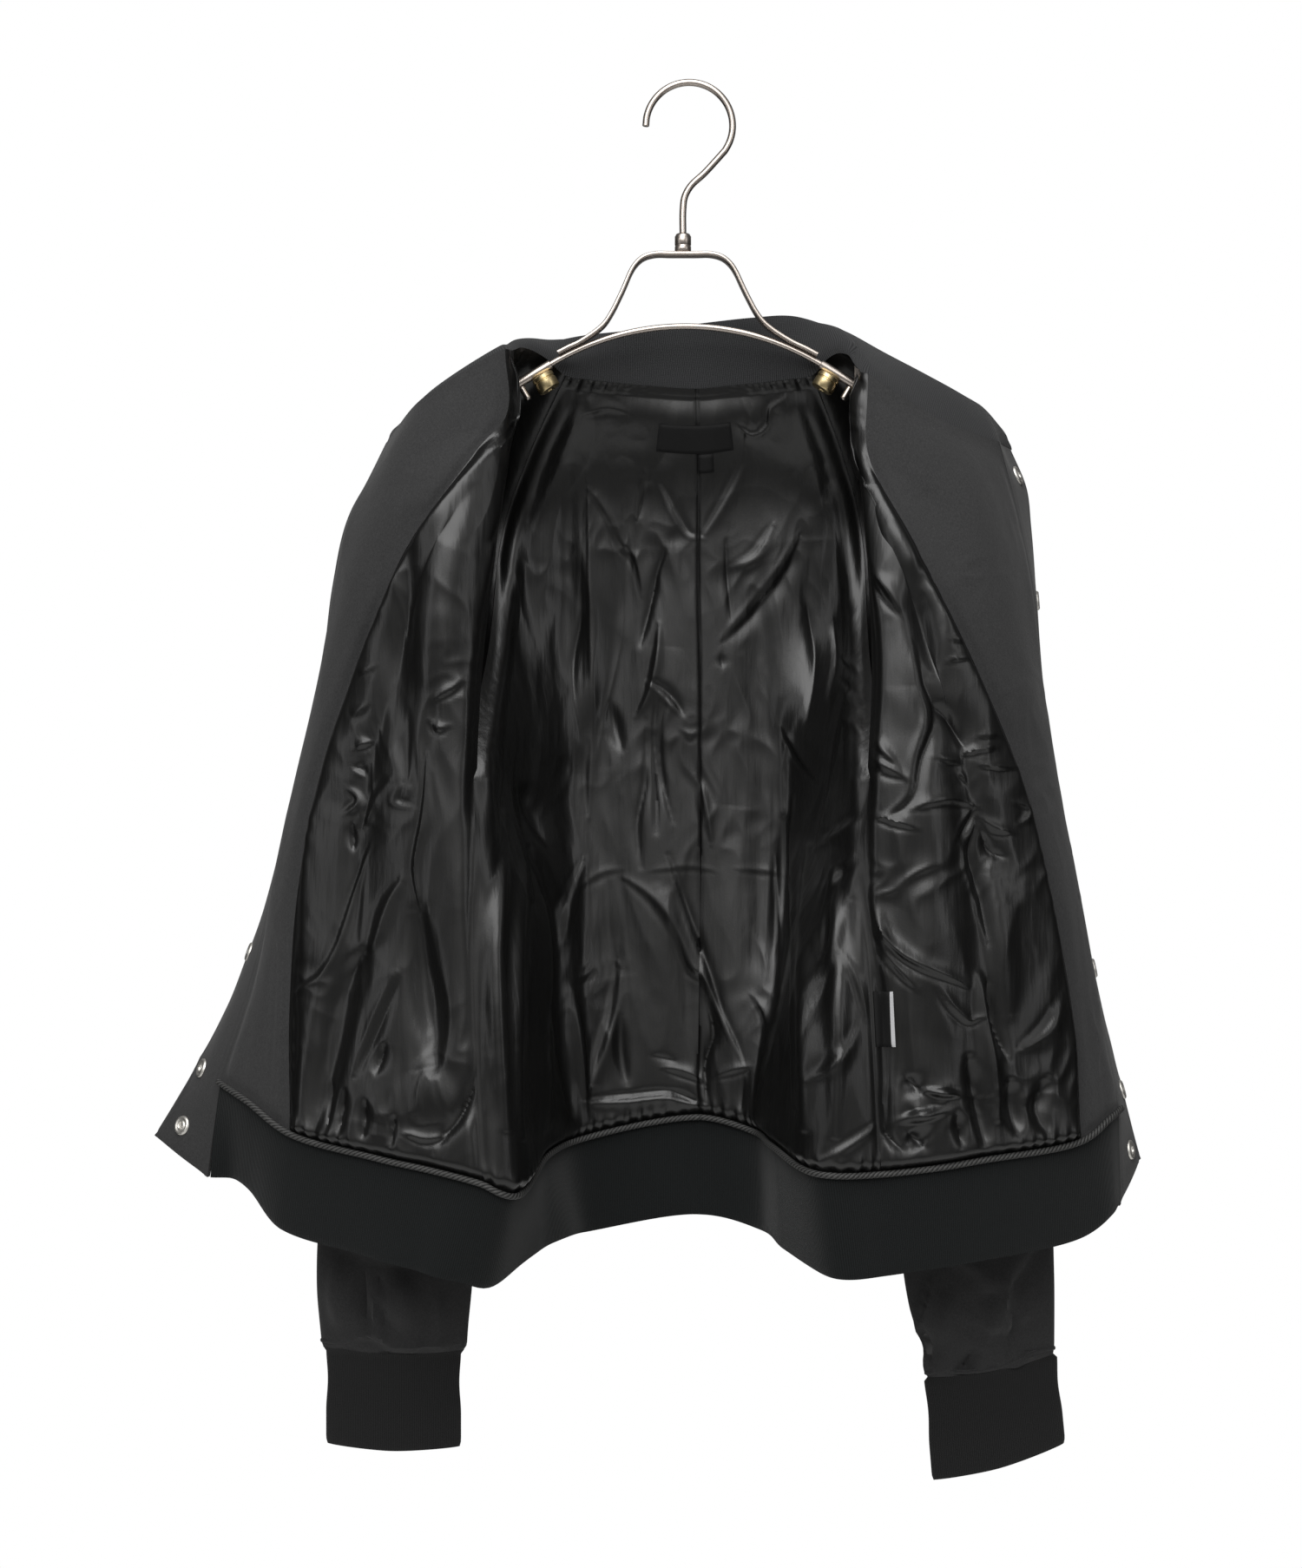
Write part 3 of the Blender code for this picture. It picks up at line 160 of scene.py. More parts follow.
# Folds pressed into the lining, as seen by the camera in the hanger's plane: kind, half width, height
# above the cloth (towards the inside of the jacket) and the points that the fold's line runs through.
# "soft" is a round swell or hollow, "sharp" a narrow one, and "lap" a ridge that rises steeply from the
# line on its left side, as one runs along it, and falls off gently beyond.
CREASE_NAMES = ("kind", "width", "height", "line")
BACK_FOLDS = (
    # beside the left fold, and the recess under the shoulders
    ("soft", 10, -3.5, ((-71, -218), (-72, -330), (-71, -455))),
    ("lap", 4, 1.5, ((-60, -228), (-60, -320), (-60, -420))),
    ("lap", 4, 1.1, ((-58, -234), (-50, -246), (-41, -264), (-32, -274), (-27, -292))),
    ("lap", 3, -1.2, ((-24, -221), (-28, -238), (-30, -249))),
    ("sharp", 3, -2.6, ((-14, -268), (-18, -280), (-21, -296), (-27, -322))),
    ("lap", 3, 2.4, ((-18, -311), (-21, -335), (-25, -352), (-29, -361))),
    ("lap", 3, -2.2, ((-22, -344), (-14, -351), (-5, -362))),
    ("sharp", 2.5, -2.6, ((-18, -353), (-20, -372), (-19, -400), (-19, -430))),
    ("sharp", 2.2, -2.0, ((-14, -352), (-17, -375), (-15, -402), (-10, -424))),
    ("sharp", 2.5, -2.0, ((-24, -365), (-25, -400), (-29, -425), (-27, -450))),
    ("lap", 3, -0.9, ((-16, -230), (-8, -248), (0, -259), (7, -260))),
    ("lap", 4, 1.0, ((35, -184), (31, -200), (29, -217), (16, -244), (7, -259))),
    ("lap", 3, 1.8, ((55, -178), (46, -184), (44, -193), (37, -198), (30, -195))),
    ("lap", 5, -2.0, ((63, -260), (52, -280), (37, -299), (20, -318))),
    ("sharp", 2, -1.2, ((21, -262), (22, -285), (24, -308))),
    ("lap", 4, 1.2, ((47, -254), (37, -269), (25, -276))),
    ("soft", 13, -3.2, ((73, -262), (76, -300), (80, -334))),
    ("sharp", 4, -2.6, ((68, -300), (73, -332), (71, -366))),
    ("sharp", 3, -2.2, ((84, -308), (87, -334), (84, -356))),
    ("sharp", 4, -2.6, ((-62, -306), (-67, -338), (-64, -376))),
    ("lap", 3, 1.4, ((56, -371), (66, -387), (77, -401))),
    ("lap", 3, 1.0, ((-5, -372), (0, -376), (6, -373))),
    ("soft", 4, -1.6, ((-46, -356), (-43, -366), (-38, -382))),
    ("sharp", 2, -1.0, ((18, -328), (19, -335))),
    ("lap", 3, 1.2, ((-62, -188), (-48, -186), (-36, -188))),
    ("lap", 3, 1.0, ((-64, -178), (-52, -176), (-40, -181))),
    # the small folds where the flank gathers at the right underarm
    ("lap", 3, 1.8, ((90, -330), (97, -336), (103, -345))),
    ("lap", 3, -1.8, ((91, -345), (98, -352), (104, -362))),
    ("lap", 3, 1.6, ((92, -365), (98, -371), (103, -380))),
    ("lap", 4, 2.0, ((96, -346), (92, -370), (86, -402))),
    # across the waist, and the long folded strip down to the hem
    ("lap", 3, 0.5, ((-66, -463), (-50, -455), (-38, -452))),
    ("lap", 2.5, 0.4, ((-22, -453), (0, -451), (15, -453))),
    ("lap", 2.5, 0.5, ((27, -452), (54, -455))),
    ("lap", 4, 1.5, ((-35, -458), (-26, -465), (-19, -473), (-9, -489), (-1, -508), (9, -516), (19, -539))),
    ("lap", 3, -1.8, ((-13, -444), (-7, -463), (1, -485), (9, -506), (18, -531), (32, -561))),
    ("soft", 6, 1.6, ((-18, -462), (-2, -495), (12, -522))),
    ("sharp", 3, -3.0, ((11, -526), (15, -546), (10, -562), (11, -584))),
    ("lap", 3, 1.6, ((4, -399), (8, -418), (12, -436))),
    ("lap", 4, 1.4, ((37, -526), (45, -536), (46, -560), (42, -592))),
    ("sharp", 2, -1.2, ((-21, -558), (-8, -561))),
    ("lap", 3, 1.8, ((-14, -566), (0, -570), (9, -574))),
    ("lap", 3, 1.2, ((17, -571), (28, -568), (39, -566))),
    ("sharp", 2, -1.2, ((33, -570), (32, -589))),
    ("lap", 7, 2.6, ((-42, -508), (-47, -535), (-56, -562), (-59, -574))),
    ("soft", 4, -2.2, ((-40, -536), (-40, -556), (-36, -574))),
    ("lap", 4, 3.0, ((9, -586), (-12, -580), (-36, -582), (-61, -584))),
    ("sharp", 2.5, -1.8, ((-9, -579), (5, -585))),
    # the dark valleys on either side, with the strips that stand between their folds
    ("soft", 4, 4.6, ((-111, -420), (-113, -500), (-107, -600))),
    ("soft", 3.5, 4.0, ((-101, -450), (-102, -530), (-99, -606))),
    ("soft", 4, 4.2, ((89, -430), (87, -520), (84, -604))),
    ("soft", 3, 3.2, ((64, -410), (65, -500), (63, -590))),
    ("sharp", 5, -6.4, ((-101, -403), (-93, -420), (-85, -438))),
    ("soft", 5, -7.2, ((-95, -440), (-86, -460), (-80, -485), (-78, -540), (-71, -592))),
    ("lap", 4, 2.2, ((-64, -446), (-75, -468), (-77, -496))),
    ("soft", 5, 4.8, ((-88, -468), (-87, -530), (-88, -600))),
    ("sharp", 2, -2.9, ((-82, -503), (-86, -546), (-83, -592))),
    ("soft", 4, 3.2, ((-72, -518), (-67, -556), (-62, -582))),
    ("lap", 4, -2.6, ((-118, -401), (-115, -430), (-117, -455))),
    ("lap", 4, -2.6, ((-106, -401), (-102, -425), (-95, -470))),
    ("soft", 6, -6.4, ((-95, -472), (-95, -540), (-94, -616))),
    ("soft", 7, -7.2, ((57, -424), (57, -470), (56, -540), (60, -620))),
    ("lap", 3, 2.0, ((50, -446), (52, -500), (49, -562))),
    ("soft", 5, 5.8, ((74, -440), (73, -520), (71, -600))),
    ("lap", 4, 2.2, ((87, -399), (80, -424), (77, -440))),
    ("lap", 4, 2.4, ((102, -419), (92, -428), (80, -438))),
    ("lap", 4, -3.0, ((98, -445), (88, -458), (82, -475), (80, -502))),
    ("lap", 4, -2.4, ((95, -470), (86, -500), (75, -530), (70, -560))),
    ("lap", 3, 1.6, ((90, -502), (95, -520), (99, -537))),
    ("lap", 4, 2.4, ((94, -541), (87, -555), (74, -571))),
    ("lap", 3, 1.6, ((106, -596), (92, -606), (78, -617))),
)
FRONT_FOLDS = {
    "r": (
        ("soft", 7, -4.4, ((-160, -255), (-161, -330), (-160, -400))),
        ("soft", 14, 2.7, ((-142, -232), (-143, -350))),
        ("lap", 3, 1.8, ((-144, -354), (-135, -349), (-131, -344))),
        ("lap", 3, 1.8, ((-148, -367), (-143, -372), (-138, -370))),
        ("lap", 2.5, 2.0, ((-189, -382), (-180, -379))),
        ("lap", 2.5, -1.8, ((-191, -393), (-184, -397))),
        ("lap", 2.5, 1.8, ((-195, -405), (-190, -411), (-197, -418))),
        ("sharp", 2, -2.4, ((-192, -425), (-191, -440))),
        ("lap", 3, 1.4, ((-189, -365), (-182, -358))),
        ("lap", 3, 1.2, ((-184, -341), (-178, -336))),
        ("lap", 4, 2.6, ((-170, -400), (-177, -409), (-184, -425))),
        ("lap", 3, -1.4, ((-163, -403), (-166, -412), (-157, -415))),
        ("lap", 2.5, 1.8, ((-150, -385), (-152, -420), (-157, -450), (-153, -474))),
        ("soft", 9, -6.1, ((-153, -476), (-151, -505), (-147, -532), (-143, -562))),
        ("lap", 3, 2.2, ((-180, -438), (-190, -460), (-203, -497), (-211, -511), (-227, -522))),
        ("lap", 4, 3.0, ((-165, -457), (-172, -468), (-181, -499))),
        ("soft", 8, -7.6, ((-184, -500), (-194, -514), (-203, -550), (-213, -602))),
        ("lap", 3.5, -2.4, ((-166, -511), (-172, -525), (-179, -542), (-190, -569))),
        ("sharp", 3, -3.1, ((-173, -551), (-178, -569))),
        ("sharp", 4, -5.4, ((-120, -560), (-129, -590), (-142, -608))),
        ("lap", 3, 1.8, ((-162, -604), (-150, -608), (-138, -606))),
        ("soft", 11, 3.0, ((-152, -566), (-148, -598))),
        ("soft", 5, -4.4, ((-225, -432), (-226, -520), (-226, -602))),
        ("sharp", 2.5, -3.7, ((-205, -574), (-206, -602))),
        ("sharp", 2.5, -3.7, ((-196, -578), (-199, -603))),
        ("sharp", 2.5, -3.7, ((-184, -584), (-186, -606))),
        ("sharp", 2.5, -3.1, ((-168, -592), (-170, -610))),
        ("sharp", 3, -3.7, ((-117, -262), (-104, -253))),
        ("lap", 4, 2.4, ((-124, -317), (-116, -350), (-112, -378), (-98, -412))),
    ),
    "l": (
        ("lap", 4, 2.4, ((109, -283), (116, -297), (121, -305))),
        ("soft", 8, -5.4, ((134, -272), (133, -300), (138, -338))),
        ("sharp", 5, -5.1, ((138, -357), (148, -367), (156, -380))),
        ("lap", 4, -3.2, ((128, -323), (131, -345), (136, -363), (130, -388), (126, -410), (114, -421))),
        ("lap", 3, 2.2, ((106, -375), (112, -385), (119, -391))),
        ("lap", 4, 2.6, ((104, -385), (112, -394), (123, -399))),
        ("lap", 2.5, 2.4, ((156, -386), (163, -384), (173, -382))),
        ("lap", 2.5, 1.8, ((149, -320), (155, -322))),
        ("lap", 2.5, 1.6, ((149, -332), (159, -331))),
        ("lap", 2.5, 2.0, ((165, -392), (174, -394), (184, -394))),
        ("lap", 2.5, 1.4, ((164, -376), (174, -375))),
        ("lap", 2.5, 1.4, ((150, -397), (156, -402))),
        ("lap", 3, 1.8, ((139, -388), (146, -391), (153, -391))),
        ("lap", 4, 2.4, ((130, -417), (145, -414), (162, -416))),
        ("lap", 3, -2.4, ((162, -414), (156, -423), (150, -434))),
        ("lap", 3, 2.6, ((167, -423), (173, -429), (182, -431))),
        ("lap", 3, 2.6, ((109, -422), (118, -425), (129, -428))),
        ("lap", 3, 1.8, ((184, -414), (190, -418), (186, -424))),
        ("sharp", 3, -3.7, ((167, -430), (172, -441), (179, -444))),
        ("lap", 4, -3.2, ((162, -424), (156, -441), (163, -470), (167, -492))),
        ("lap", 4, 4.0, ((101, -455), (104, -475), (110, -490), (120, -500), (133, -508), (153, -518))),
        ("lap", 4, 3.0, ((101, -480), (107, -492), (115, -505), (129, -519))),
        ("soft", 6, -6.1, ((106, -502), (110, -535), (112, -566), (110, -600))),
        ("lap", 3, 2.6, ((141, -519), (148, -532), (157, -540), (163, -537))),
        ("soft", 5, 5.8, ((162, -512), (167, -545), (172, -576), (175, -594))),
        ("sharp", 4, -5.1, ((168, -516), (172, -540), (180, -560))),
        ("soft", 5, -6.1, ((182, -574), (186, -602))),
        ("soft", 5, -5.8, ((158, -560), (165, -590), (168, -608))),
        ("soft", 9, 4.1, ((172, -452), (178, -500), (180, -534))),
        ("lap", 5, 2.2, ((209, -524), (201, -541), (188, -553))),
        ("soft", 5, -4.8, ((204, -572), (198, -590), (204, -603))),
        ("sharp", 4, -4.4, ((125, -570), (133, -580))),
        ("soft", 6, 4.4, ((145, -576), (144, -582))),
        ("soft", 9, 4.8, ((132, -588), (134, -596))),
        ("sharp", 5, -5.1, ((126, -602), (134, -610))),
        ("sharp", 4, -5.4, ((108, -578), (111, -600), (121, -612))),
        ("sharp", 2.5, -3.7, ((152, -590), (155, -610))),
    ),
}
# Folds of the facings, seen in the same way
FACING_FOLDS = {
    "r": (
        ("soft", 16, 3.0, ((-178, -300), (-196, -380), (-214, -450))),
        ("soft", 10, -2.3, ((-150, -240), (-176, -290))),
        ("lap", 8, 2.3, ((-236, -500), (-240, -560), (-243, -600))),
    ),
    "l": (
        ("soft", 16, 2.7, ((160, -230), (176, -300), (196, -380))),
        ("soft", 9, -2.7, ((132, -232), (150, -280))),
        ("lap", 7, 2.3, ((222, -470), (232, -540), (238, -600))),
    ),
}
# Soft folds on the outside, from front or behind in world X and Z
OUTSIDE = {
    "back": (
        ("lap", 16, 3.5, ((-92, -250), (-76, -330), (-70, -420), (-74, -520))),
        ("lap", 14, -3.0, ((88, -262), (74, -350), (70, -450), (76, -560))),
        ("soft", 20, 2.5, ((-30, -300), (-34, -420), (-28, -540))),
        ("soft", 16, -2.5, ((34, -330), (40, -440), (30, -560))),
        ("lap", 10, 2.2, ((-60, -560), (-20, -572), (30, -566))),
        ("lap", 9, 1.8, ((-84, -520), (-60, -540), (-40, -575))),
        ("lap", 10, -1.8, ((60, -480), (40, -520), (34, -580))),
    ),
    ("r", "front"): (
        ("lap", 12, 2.5, ((-130, -330), (-160, -420), (-180, -540))),
        ("soft", 14, 2.0, ((-190, -360), (-206, -460), (-214, -560))),
        ("lap", 9, -1.8, ((-126, -480), (-150, -540), (-160, -600))),
    ),
    ("l", "front"): (
        ("lap", 12, -2.5, ((112, -330), (146, -420), (168, -540))),
        ("soft", 14, 2.0, ((180, -360), (196, -460), (204, -560))),
        ("lap", 9, 1.8, ((112, -480), (134, -540), (146, -600))),
    ),
    ("r", "sleeve"): (
        ("lap", 9, 4.2, ((-148, -395), (-170, -420), (-196, -426))),
        ("lap", 8, 3.5, ((-140, -455), (-165, -480), (-200, -492))),
        ("lap", 8, -3.5, ((-206, -540), (-178, -560), (-150, -566))),
        ("soft", 9, 3.2, ((-196, -330), (-204, -420), (-206, -520))),
        ("lap", 7, 3.8, ((-206, -628), (-180, -640), (-150, -634))),
        ("lap", 7, -3.5, ((-144, -668), (-176, -680), (-208, -672))),
        ("soft", 4, -6.5, ((-192, -684), (-191, -704), (-188, -726))),
        ("sharp", 3.5, -5.1, ((-183, -688), (-179, -704))),
        ("lap", 4, -5.1, ((-186, -702), (-182, -716), (-178, -728))),
        ("soft", 7, 5.7, ((-206, -684), (-205, -722))),
        ("soft", 8, 6.1, ((-168, -690), (-166, -722))),
        ("lap", 4, 4.3, ((-150, -700), (-151, -728))),
        (
            "soft", 2.2, 3.0,
            ((-208, -731), (-190, -725), (-182, -725), (-172, -732), (-158, -732), (-134, -730)),
        ),
        ("sharp", 2.0, -2.2, ((-206, -736), (-188, -731), (-174, -738), (-158, -738))),
        ("lap", 8, 3.2, ((-110, -210), (-134, -240), (-150, -290))),
    ),
    ("l", "sleeve"): (
        ("lap", 9, -4.2, ((136, -395), (160, -424), (190, -430))),
        ("lap", 8, -3.5, ((130, -462), (156, -486), (192, -496))),
        ("lap", 8, 3.5, ((198, -540), (172, -566), (142, -570))),
        ("soft", 9, 3.2, ((188, -330), (196, -420), (200, -520))),
        ("lap", 8, -4.8, ((206, -668), (190, -690), (166, -702))),
        ("lap", 7, 3.5, ((142, -676), (166, -690), (196, -722))),
        ("lap", 6, -3.2, ((206, -712), (186, -722), (160, -716))),
        ("lap", 4, 5.7, ((142, -690), (138, -706), (134, -722))),
        ("sharp", 3.5, -6.9, ((138, -724), (142, -744))),
        ("sharp", 3.5, -7.3, ((168, -734), (163, -742), (158, -750))),
        ("soft", 5, 5.7, ((188, -690), (184, -704), (176, -726))),
        ("lap", 4, -4.7, ((184, -700), (188, -722), (184, -740))),
        ("soft", 6, 5.1, ((152, -700), (150, -730))),
        ("soft", 2.2, 2.9, ((152, -750), (164, -752), (182, -752), (196, -742), (212, -738))),
        ("sharp", 2.2, -2.9, ((152, -758), (164, -760), (184, -758))),
        ("sharp", 1.6, -1.9, ((192, -731), (212, -729))),
        ("sharp", 1.6, -1.9, ((192, -737), (209, -735))),
        ("lap", 8, -3.2, ((106, -210), (128, -240), (146, -290))),
    ),
}

# How each inner piece hangs: its ease over the shell, how far from its seams that starts, its own small
# wrinkles (height, length across and down, seed), and the puckers along its seams. A pucker has its
# edge, pitch, reach and height.
LOOK_NAMES = ("folds", "ease", "reach", "wrinkle", "across", "down", "seed", "puckers")
HEM_PUCKERS = ("bottom", 7.3, 8.0, 1.3)
NECK_PUCKERS = ("top", 8.0, 5.0, 0.6)
SIDE_PUCKERS = ("first", 15.0, 6.0, 0.5)
SLEEVE_PUCKERS = ("bottom", 17.0, 13.0, 1.3)
BACK_LOOK = (BACK_FOLDS, 5.5, 4, 0.75, 24, 110, 3.1, (HEM_PUCKERS, NECK_PUCKERS))
LOOKS = {
    ("r", "facing"): (FACING_FOLDS["r"], 2.4, 5, 0.9, 60, 160, 21.7, ()),
    ("r", "front"): (FRONT_FOLDS["r"], 6.5, 3.5, 1.3, 22, 100, 12.3, (HEM_PUCKERS, SIDE_PUCKERS)),
    ("r", "back"): BACK_LOOK,
    ("l", "facing"): (FACING_FOLDS["l"], 2.4, 5, 0.9, 60, 160, 25.3, ()),
    ("l", "front"): (FRONT_FOLDS["l"], 6.5, 3.5, 1.3, 22, 100, 17.9, (HEM_PUCKERS, SIDE_PUCKERS)),
    ("l", "back"): BACK_LOOK,
}

FRONT_NAMES = (
    "row", "edge_z", "roll_z", "facing_z", "fold_z", "edge_out", "edge_y", "roll_out", "roll_y",
    "facing_out", "facing_y", "middle_out", "middle_y", "fold_out", "fold_y",
)
FRONT_TABLES = {
    "r": (
        (0, -207, -185, -158, -156, 172, 4, 146, -32, 106, -30, 105, -26, 103, -20),
        (2, -233, -219, -200, -194, 184, -2, 158, -36, 107, -36, 106, -31, 105, -26),
        (3, -246, -236, -221, -214, 191, -4, 163, -38, 121, -46, 113, -41, 107, -31),
        (6, -290, -284, -276, -270, 202, -3, 184, -30, 159, -45, 132, -54, 112, -42),
        (8.5, -338, -337, -336, -335, 209, 4, 202, -14, 185, -29, 150, -52, 119, -49),
        (11, -388, -391, -395, -400, 221, 10, 217, -5, 206, -21, 158, -49, 122, -52),
        (14, -440, -445, -456, -470, 234, 8, 229, -5, 219, -19, 165, -47, 121, -56),
        (18, -508, -515, -530, -550, 246, 2, 237, -14, 224, -26, 172, -50, 117, -60),
        (22, -573, -581, -597, -620, 267, 0, 248, -18, 223, -32, 172, -52, 114, -65),
    ),
    "l": (
        (0, -206, -199, -172, -164, 175, -4, 143, -24, 101, -30, 99, -25, 97, -17),
        (3, -250, -243, -224, -215, 187, 0, 154, -34, 101.5, -37, 100, -34, 99, -30),
        (6, -296, -289, -276, -270, 196, 0, 167, -34, 126, -53, 114, -53, 102, -42),
        (8.5, -345, -342, -338, -335, 201, 2, 184, -26, 157, -46, 128, -56, 104, -51),
        (11, -398, -398, -400, -400, 209, 4, 201, -15, 184, -33, 140, -56, 101, -54),
        (14, -456, -458, -465, -470, 220, 4, 213, -12, 201, -27, 147, -54, 99, -56),
        (18, -524, -529, -540, -550, 232, 3, 226, -11, 215, -24, 155, -52, 100, -60),
        (22, -588, -592, -602, -615, 244, 0, 235, -14, 218, -28, 160, -53, 103, -62),
    ),
}

# Back: rim is the raglan seam down to the underarm; ridge, valley and flank shape the side of the recess.
# ridge_dip is how far the ridge hangs below a straight line from the rim to the centre.
BACK_NAMES = (
    "row", "rim_out", "rim_y", "rim_z", "ridge_out", "ridge_y", "ridge_dip", "valley_out", "valley_y",
    "flank_out", "flank_y",
)
BACK_TABLES = {
    "r": (
        (0, 72, 10, -164, 60, 17, 0, 44, 23, 24, 27),
        (3, 96, 30, -212, 80, 40, 0, 58, 45, 30, 47),
        (6, 112, 38, -262, 96, 46, 0, 72, 50, 38, 51),
        (8.5, 117, 14, -325, 108, 34, 0, 86, 48, 48, 52),
        (11, 122, -52, -400, 114, -18, 0, 103, 18, 72, 47),
        (14, 121, -56, -470, 106, -44, 1, 93, 10, 68, 46),
        (18, 117, -60, -550, 103, -58, 4, 87, 4, 66, 44),
        (22, 114, -65, -620, 102, -62, 9, 86, 0, 66, 38),
    ),
    "l": (
        (0, 72, 10, -164, 60, 17, 0, 44, 23, 24, 27),
        (3, 92, 28, -212, 76, 39, 0, 56, 45, 30, 47),
        (6, 104, 36, -262, 90, 45, 0, 70, 49, 38, 51),
        (8.5, 105, 12, -325, 97, 33, 0, 80, 47, 44, 52),
        (11, 101, -54, -400, 95, -20, 0, 85, 17, 62, 47),
        (14, 99, -56, -470, 86, -46, 0, 72, 5, 55, 45),
        (18, 100, -60, -550, 77, -62, 1, 56, -8, 47, 37),
        (22, 103, -62, -615, 74, -66, 4, 52, -16, 43, 30),
    ),
}
CENTRE_NAMES = ("row", "x", "y", "z")
CENTRE_TABLE = (
    (0, 5, 28, -169),
    (3, 6, 47, -222),
    (6, 6, 52, -275),
    (8.5, 7, 53, -333),
    (11, 7, 53, -392),
    (14, 8, 52, -455),
    (18, 8, 49, -530),
    (22, 8, 46, -599),
)

# Sleeves: inner is the underarm seam (below the underarm), fore the side towards the viewer,
# top the shoulder line and the sleeve's outer side, aft the side towards the wall.
SLEEVE_NAMES = (
    "row", "inner_out", "inner_y", "inner_z", "fore_out", "fore_y", "fore_z",
    "top_out", "top_y", "top_z", "aft_out", "aft_y", "aft_z",
)
SLEEVE_TABLES = {
    "r": (
        (0, 0, 0, 0, 99, -11, -152, 91, -1, -151, 81, 7, -156),
        (3, 0, 0, 0, 118, -20, -196, 123, 4, -177, 113, 27, -194),
        (6, 0, 0, 0, 140, -25, -237, 152, 8, -198, 142, 42, -239),
        (8.5, 0, 0, 0, 155, -24, -296, 176, 18, -240, 162, 52, -292),
        (11, 122, -52, -400, 164, -18, -372, 192, 29, -308, 162, 57, -365),
        (14, 124, -26, -455, 168, -12, -440, 205, 34, -405, 164, 65, -440),
        (18, 124, 16, -530, 170, 6, -525, 210, 38, -515, 168, 66, -525),
        (22, 124, 34, -618, 171, 15, -618, 216, 39, -614, 172, 62, -618),
        (26, 128, 38, -700, 174, 20, -700, 220, 38, -699, 174, 57, -700),
        (28, 132, 38, -737, 174, 25, -737, 217, 38, -735, 174, 52, -737),
    ),
    "l": (
        (0, 0, 0, 0, 94, -10, -156, 87, -1, -152, 79, 7, -156),
        (3, 0, 0, 0, 113, -19, -196, 119, 4, -176, 109, 26, -194),
        (6, 0, 0, 0, 135, -24, -236, 149, 8, -197, 136, 42, -238),
        (8.5, 0, 0, 0, 149, -24, -296, 174, 18, -239, 157, 52, -292),
        (11, 101, -54, -400, 152, -20, -372, 188, 29, -308, 150, 56, -365),
        (14, 108, -26, -455, 157, -12, -440, 199, 34, -405, 154, 65, -440),
        (18, 115, 16, -532, 163, 6, -525, 205, 38, -513, 162, 66, -525),
        (22, 122, 34, -622, 169, 15, -618, 213, 39, -610, 170, 62, -618),
        (26, 130, 38, -707, 174, 20, -702, 217, 38, -693, 175, 57, -702),
        (28, 141, 38, -753, 178, 25, -747, 217, 38, -739, 179, 52, -747),
    ),
}
# Each cuff's oval: how far its bottom edge shifts outwards and leans, its width and its depth
CUFF_TABLE = {"r": (0, 0, 80, 24), "l": (5, 4, 79, 24)}
# How far above the cuff its stitched-down seam runs: (at x, half width, height)
CUFF_SEAM_ABOVE = {
    "r": ((-170, 80, 5.5), (-189, 9, 6.0), (-150, 8, 2.0)),
    "l": ((170, 90, 1.6), (205, 16, 3.5), (150, 9, 2.0)),
}
CUFF_TUCK = 2.0  # how far the knit pulls in just under its seam

# The placket strip: how far its middle (bend) and its free edge (out) lie outside the placket seam,
# and how far its free edge rises above it. The rest of its width goes back.
STRIP_NAMES = ("row", "bend", "out", "rise")
STRIP_TABLES = {
    "r": (
        (0, 1, 3, 0), (3, 1, 4, 0), (6, 0, 4, 0), (8.5, 0, 1, 0), (11, -1, 0, 0), (14, 2, 3, 0),
        (16, 5, 7.5, 1), (18, 8.5, 12, 4), (20, 10, 14, 6), (22, 12, 19, 9), (23.5, 15, 27, 14),
        (25, 18, 35.5, 20),
    ),
    "l": (
        (0, 4, 13, 0), (1.5, 8, 16, 0), (3, 7, 13, 0), (6, 4, 7, 0), (8.5, 2.5, 4.5, 0), (11, 2, 4, 0),
        (14, 3, 5, 0), (18, 4.5, 7, 1), (20, 5, 8.5, 4), (22, 6, 10, 7), (23.5, 8, 15, 13),
        (25, 10.5, 20, 21),
    ),
}

# The hem rib: where its bottom edge lies from the hem seam. at counts the pieces from the placket seam:
# 0 to 1 across the facing, 1 to 2 across the front lining, 2 to 3 across half of the back.
HEM_NAMES = ("at", "out", "y", "z")
HEM_TABLES = {
    "r": (
        (0, 10, 7, -56), (0.24, 7, 18, -52.5), (0.52, 7, 20, -52), (1, 8, 11, -56.5), (1.38, 6, 6, -56.5),
        (1.75, 11, 2, -56), (2, 15, 4, -55), (2.17, 6, 20, -52), (2.33, -2, 15, -53), (2.5, -9, 8, -54),
        (2.67, -4, 2, -57), (3, 0, 0, -59),
    ),
    "l": (
        (0, 1.5, 2, -57), (0.5, 5, 4, -56), (1, 4, 6, -56), (1.4, 2, 3, -57), (2, 6, 2, -57),
        (2.25, 8, 0, -59), (2.5, 4, 2, -60), (2.67, 2, 2, -59), (3, 0, 0, -59),
    ),
}

